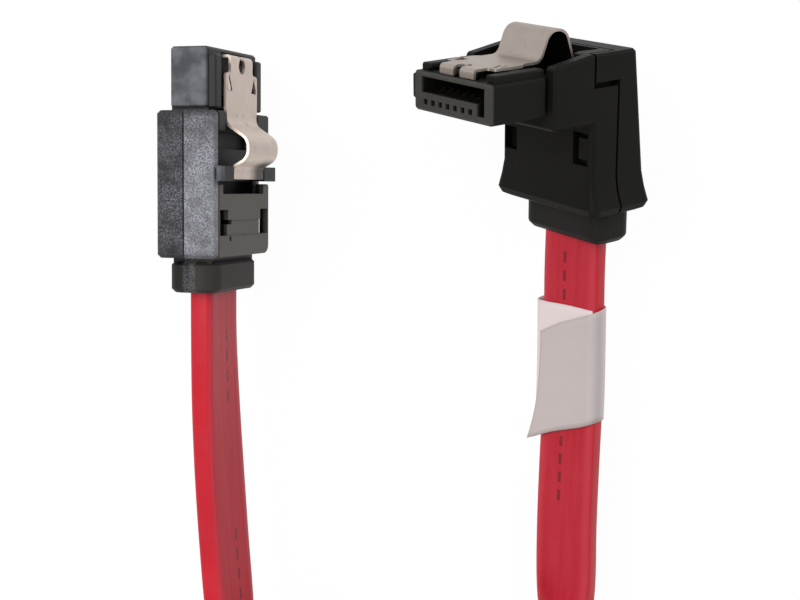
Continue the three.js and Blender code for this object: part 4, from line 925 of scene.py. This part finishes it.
# Angled plug's housing. The same nylon nose, moulded in a darker batch and held between the two half shells.
# Only its mating face is lighter, with a painted grey sheen.
angled_housing = soften("angled_housing", 0.0001)
dark_nylon = Finish("black_nylon", Specular_IOR_Level=0.08)
rubbed = dark_nylon.noise(0.0028, detail=4)
dark_fine = dark_nylon.noise(0.0003, detail=2)
from_face = dark_nylon.measured(angled_plug.translation, angled_plug.col[0].xyz)
front_face = 1 - dark_nylon.step(from_face, 0.0001, 0.0004)
black_nylon = dark_nylon.blend(rubbed, shade(18, 18, 17), shade(28, 28, 26))
sheen_face = dark_nylon.blend(rubbed, shade(62, 60, 58), shade(78, 76, 73))
# Painted sheen: the mating face is coloured grey.
dark_nylon.feed(dark_nylon.shader, {"Base Color": dark_nylon.blend(front_face, black_nylon, sheen_face)})
dark_nylon.feed(dark_nylon.shader, {"Roughness": 0.42 + rubbed * 0.16})
dark_nylon.relief(dark_fine + rubbed, 0.00002, 0.5)
dark_nylon.coat(angled_housing)

# Angled plug's shells. Two satin black mouldings that close round the housing and the cable, the rear one's
# tabs in slots of the front one.
front_shell = soften("angled_front_shell", 0.00018, 3)
rear_shell = soften("angled_rear_shell", 0.00018, 3)
satin = Finish("satin_shell", Specular_IOR_Level=0.08)
clouds = satin.noise(0.004, detail=4)
satin_fine = satin.noise(0.00025, detail=2)
satin.feed(satin.shader, {"Base Color": satin.blend(clouds, shade(13, 13, 11), shade(26, 25, 22))})
satin.feed(satin.shader, {"Roughness": 0.42 + clouds * 0.15})
satin.relief(satin_fine + clouds, 0.00002, 0.5)
satin.coat(front_shell, rear_shell)

# Grommet. Soft rubber sleeve between the shells and the ribbon, with a neck that sits in the mouth of the
# shells.
grommet = soften("angled_grommet", 0.00025, 3)
rubber = Finish("soft_rubber", Roughness=0.55, Specular_IOR_Level=0.12)
bloom = rubber.noise(0.002, detail=4)
rubber.feed(rubber.shader, {"Base Color": rubber.blend(bloom, shade(22, 22, 20), shade(36, 35, 32))})
rubber.relief(rubber.noise(0.0002) + bloom, 0.00003, 0.5)
rubber.coat(grommet)

# Floor and light. A white table under a white sky, with two large soft lamps, one on each side of the camera.
# What is seen of the floor is mostly its own glow, so the shadows on it are faint.
FLOOR_HALF = 3.0
floor_corners = [(x * FLOOR_HALF, y * FLOOR_HALF, 0) for x, y in ((-1, -1), (1, -1), (1, 1), (-1, 1))]
floor_mesh = bpy.data.meshes.new("floor")
floor_mesh.from_pydata(floor_corners, [], [(0, 1, 2, 3)])
floor = bpy.data.objects.new("floor", floor_mesh)
bpy.context.scene.collection.objects.link(floor)
paper = Finish("white_table", Roughness=1.0, Specular_IOR_Level=0.0)
paper.feed(paper.shader, {"Base Color": shade(235, 235, 235)})


def seen_directly(nodes):
    """1 for what the camera, a mirror or a clear piece shows, 0 for the light that falls on other pieces."""
    seen = nodes.node("ShaderNodeLightPath", {}, output="Is Camera Ray")
    seen = seen + nodes.node("ShaderNodeLightPath", {}, output="Is Glossy Ray")
    seen = seen + nodes.node("ShaderNodeLightPath", {}, output="Is Transmission Ray")
    return nodes.node("ShaderNodeMath", {0: seen, 1: 1.0}, operation="MINIMUM")


FLOOR_GLOW = 1.04
GLOW_SHARE = 0.92
glow = paper.node("ShaderNodeEmission", {"Color": (1, 1, 1, 1), "Strength": FLOOR_GLOW})
lit = Wire(paper, paper.shader.outputs[0])
surface = paper.node("ShaderNodeMixShader", {0: seen_directly(paper) * GLOW_SHARE, 1: lit, 2: glow})
paper.feed(paper.tree.nodes["Material Output"], {"Surface": surface})
paper.coat(floor)

world = bpy.data.worlds.new("sky")
world.use_nodes = True
bpy.context.scene.world = world
SKY_LIGHT = 0.4
sky = Wiring(world.node_tree)
sky_strength = SKY_LIGHT + seen_directly(sky) * (1 - SKY_LIGHT)
sky.feed(world.node_tree.nodes["Background"], {"Color": (1, 1, 1, 1), "Strength": sky_strength})


def lamp(name, place, aim, size, power):
    """A square soft box that points at a place."""
    light = bpy.data.objects.new(name, bpy.data.lights.new(name, "AREA"))
    light.data.size = size
    light.data.energy = power
    light.location = place
    light.rotation_mode = "QUATERNION"
    light.rotation_quaternion = (Vector(aim) - Vector(place)).to_track_quat("-Z", "Y")
    bpy.context.scene.collection.objects.link(light)


LAMP_AIM = (0, -0.02, 0)
LAMP_SIZE = 0.3
lamp("left_lamp", (-0.34, 0.12, 0.36), LAMP_AIM, LAMP_SIZE, 1.4)
lamp("right_lamp", (0.3, 0.25, 0.35), LAMP_AIM, LAMP_SIZE, 0.5)

bpy.context.scene.view_settings.view_transform = "Standard"
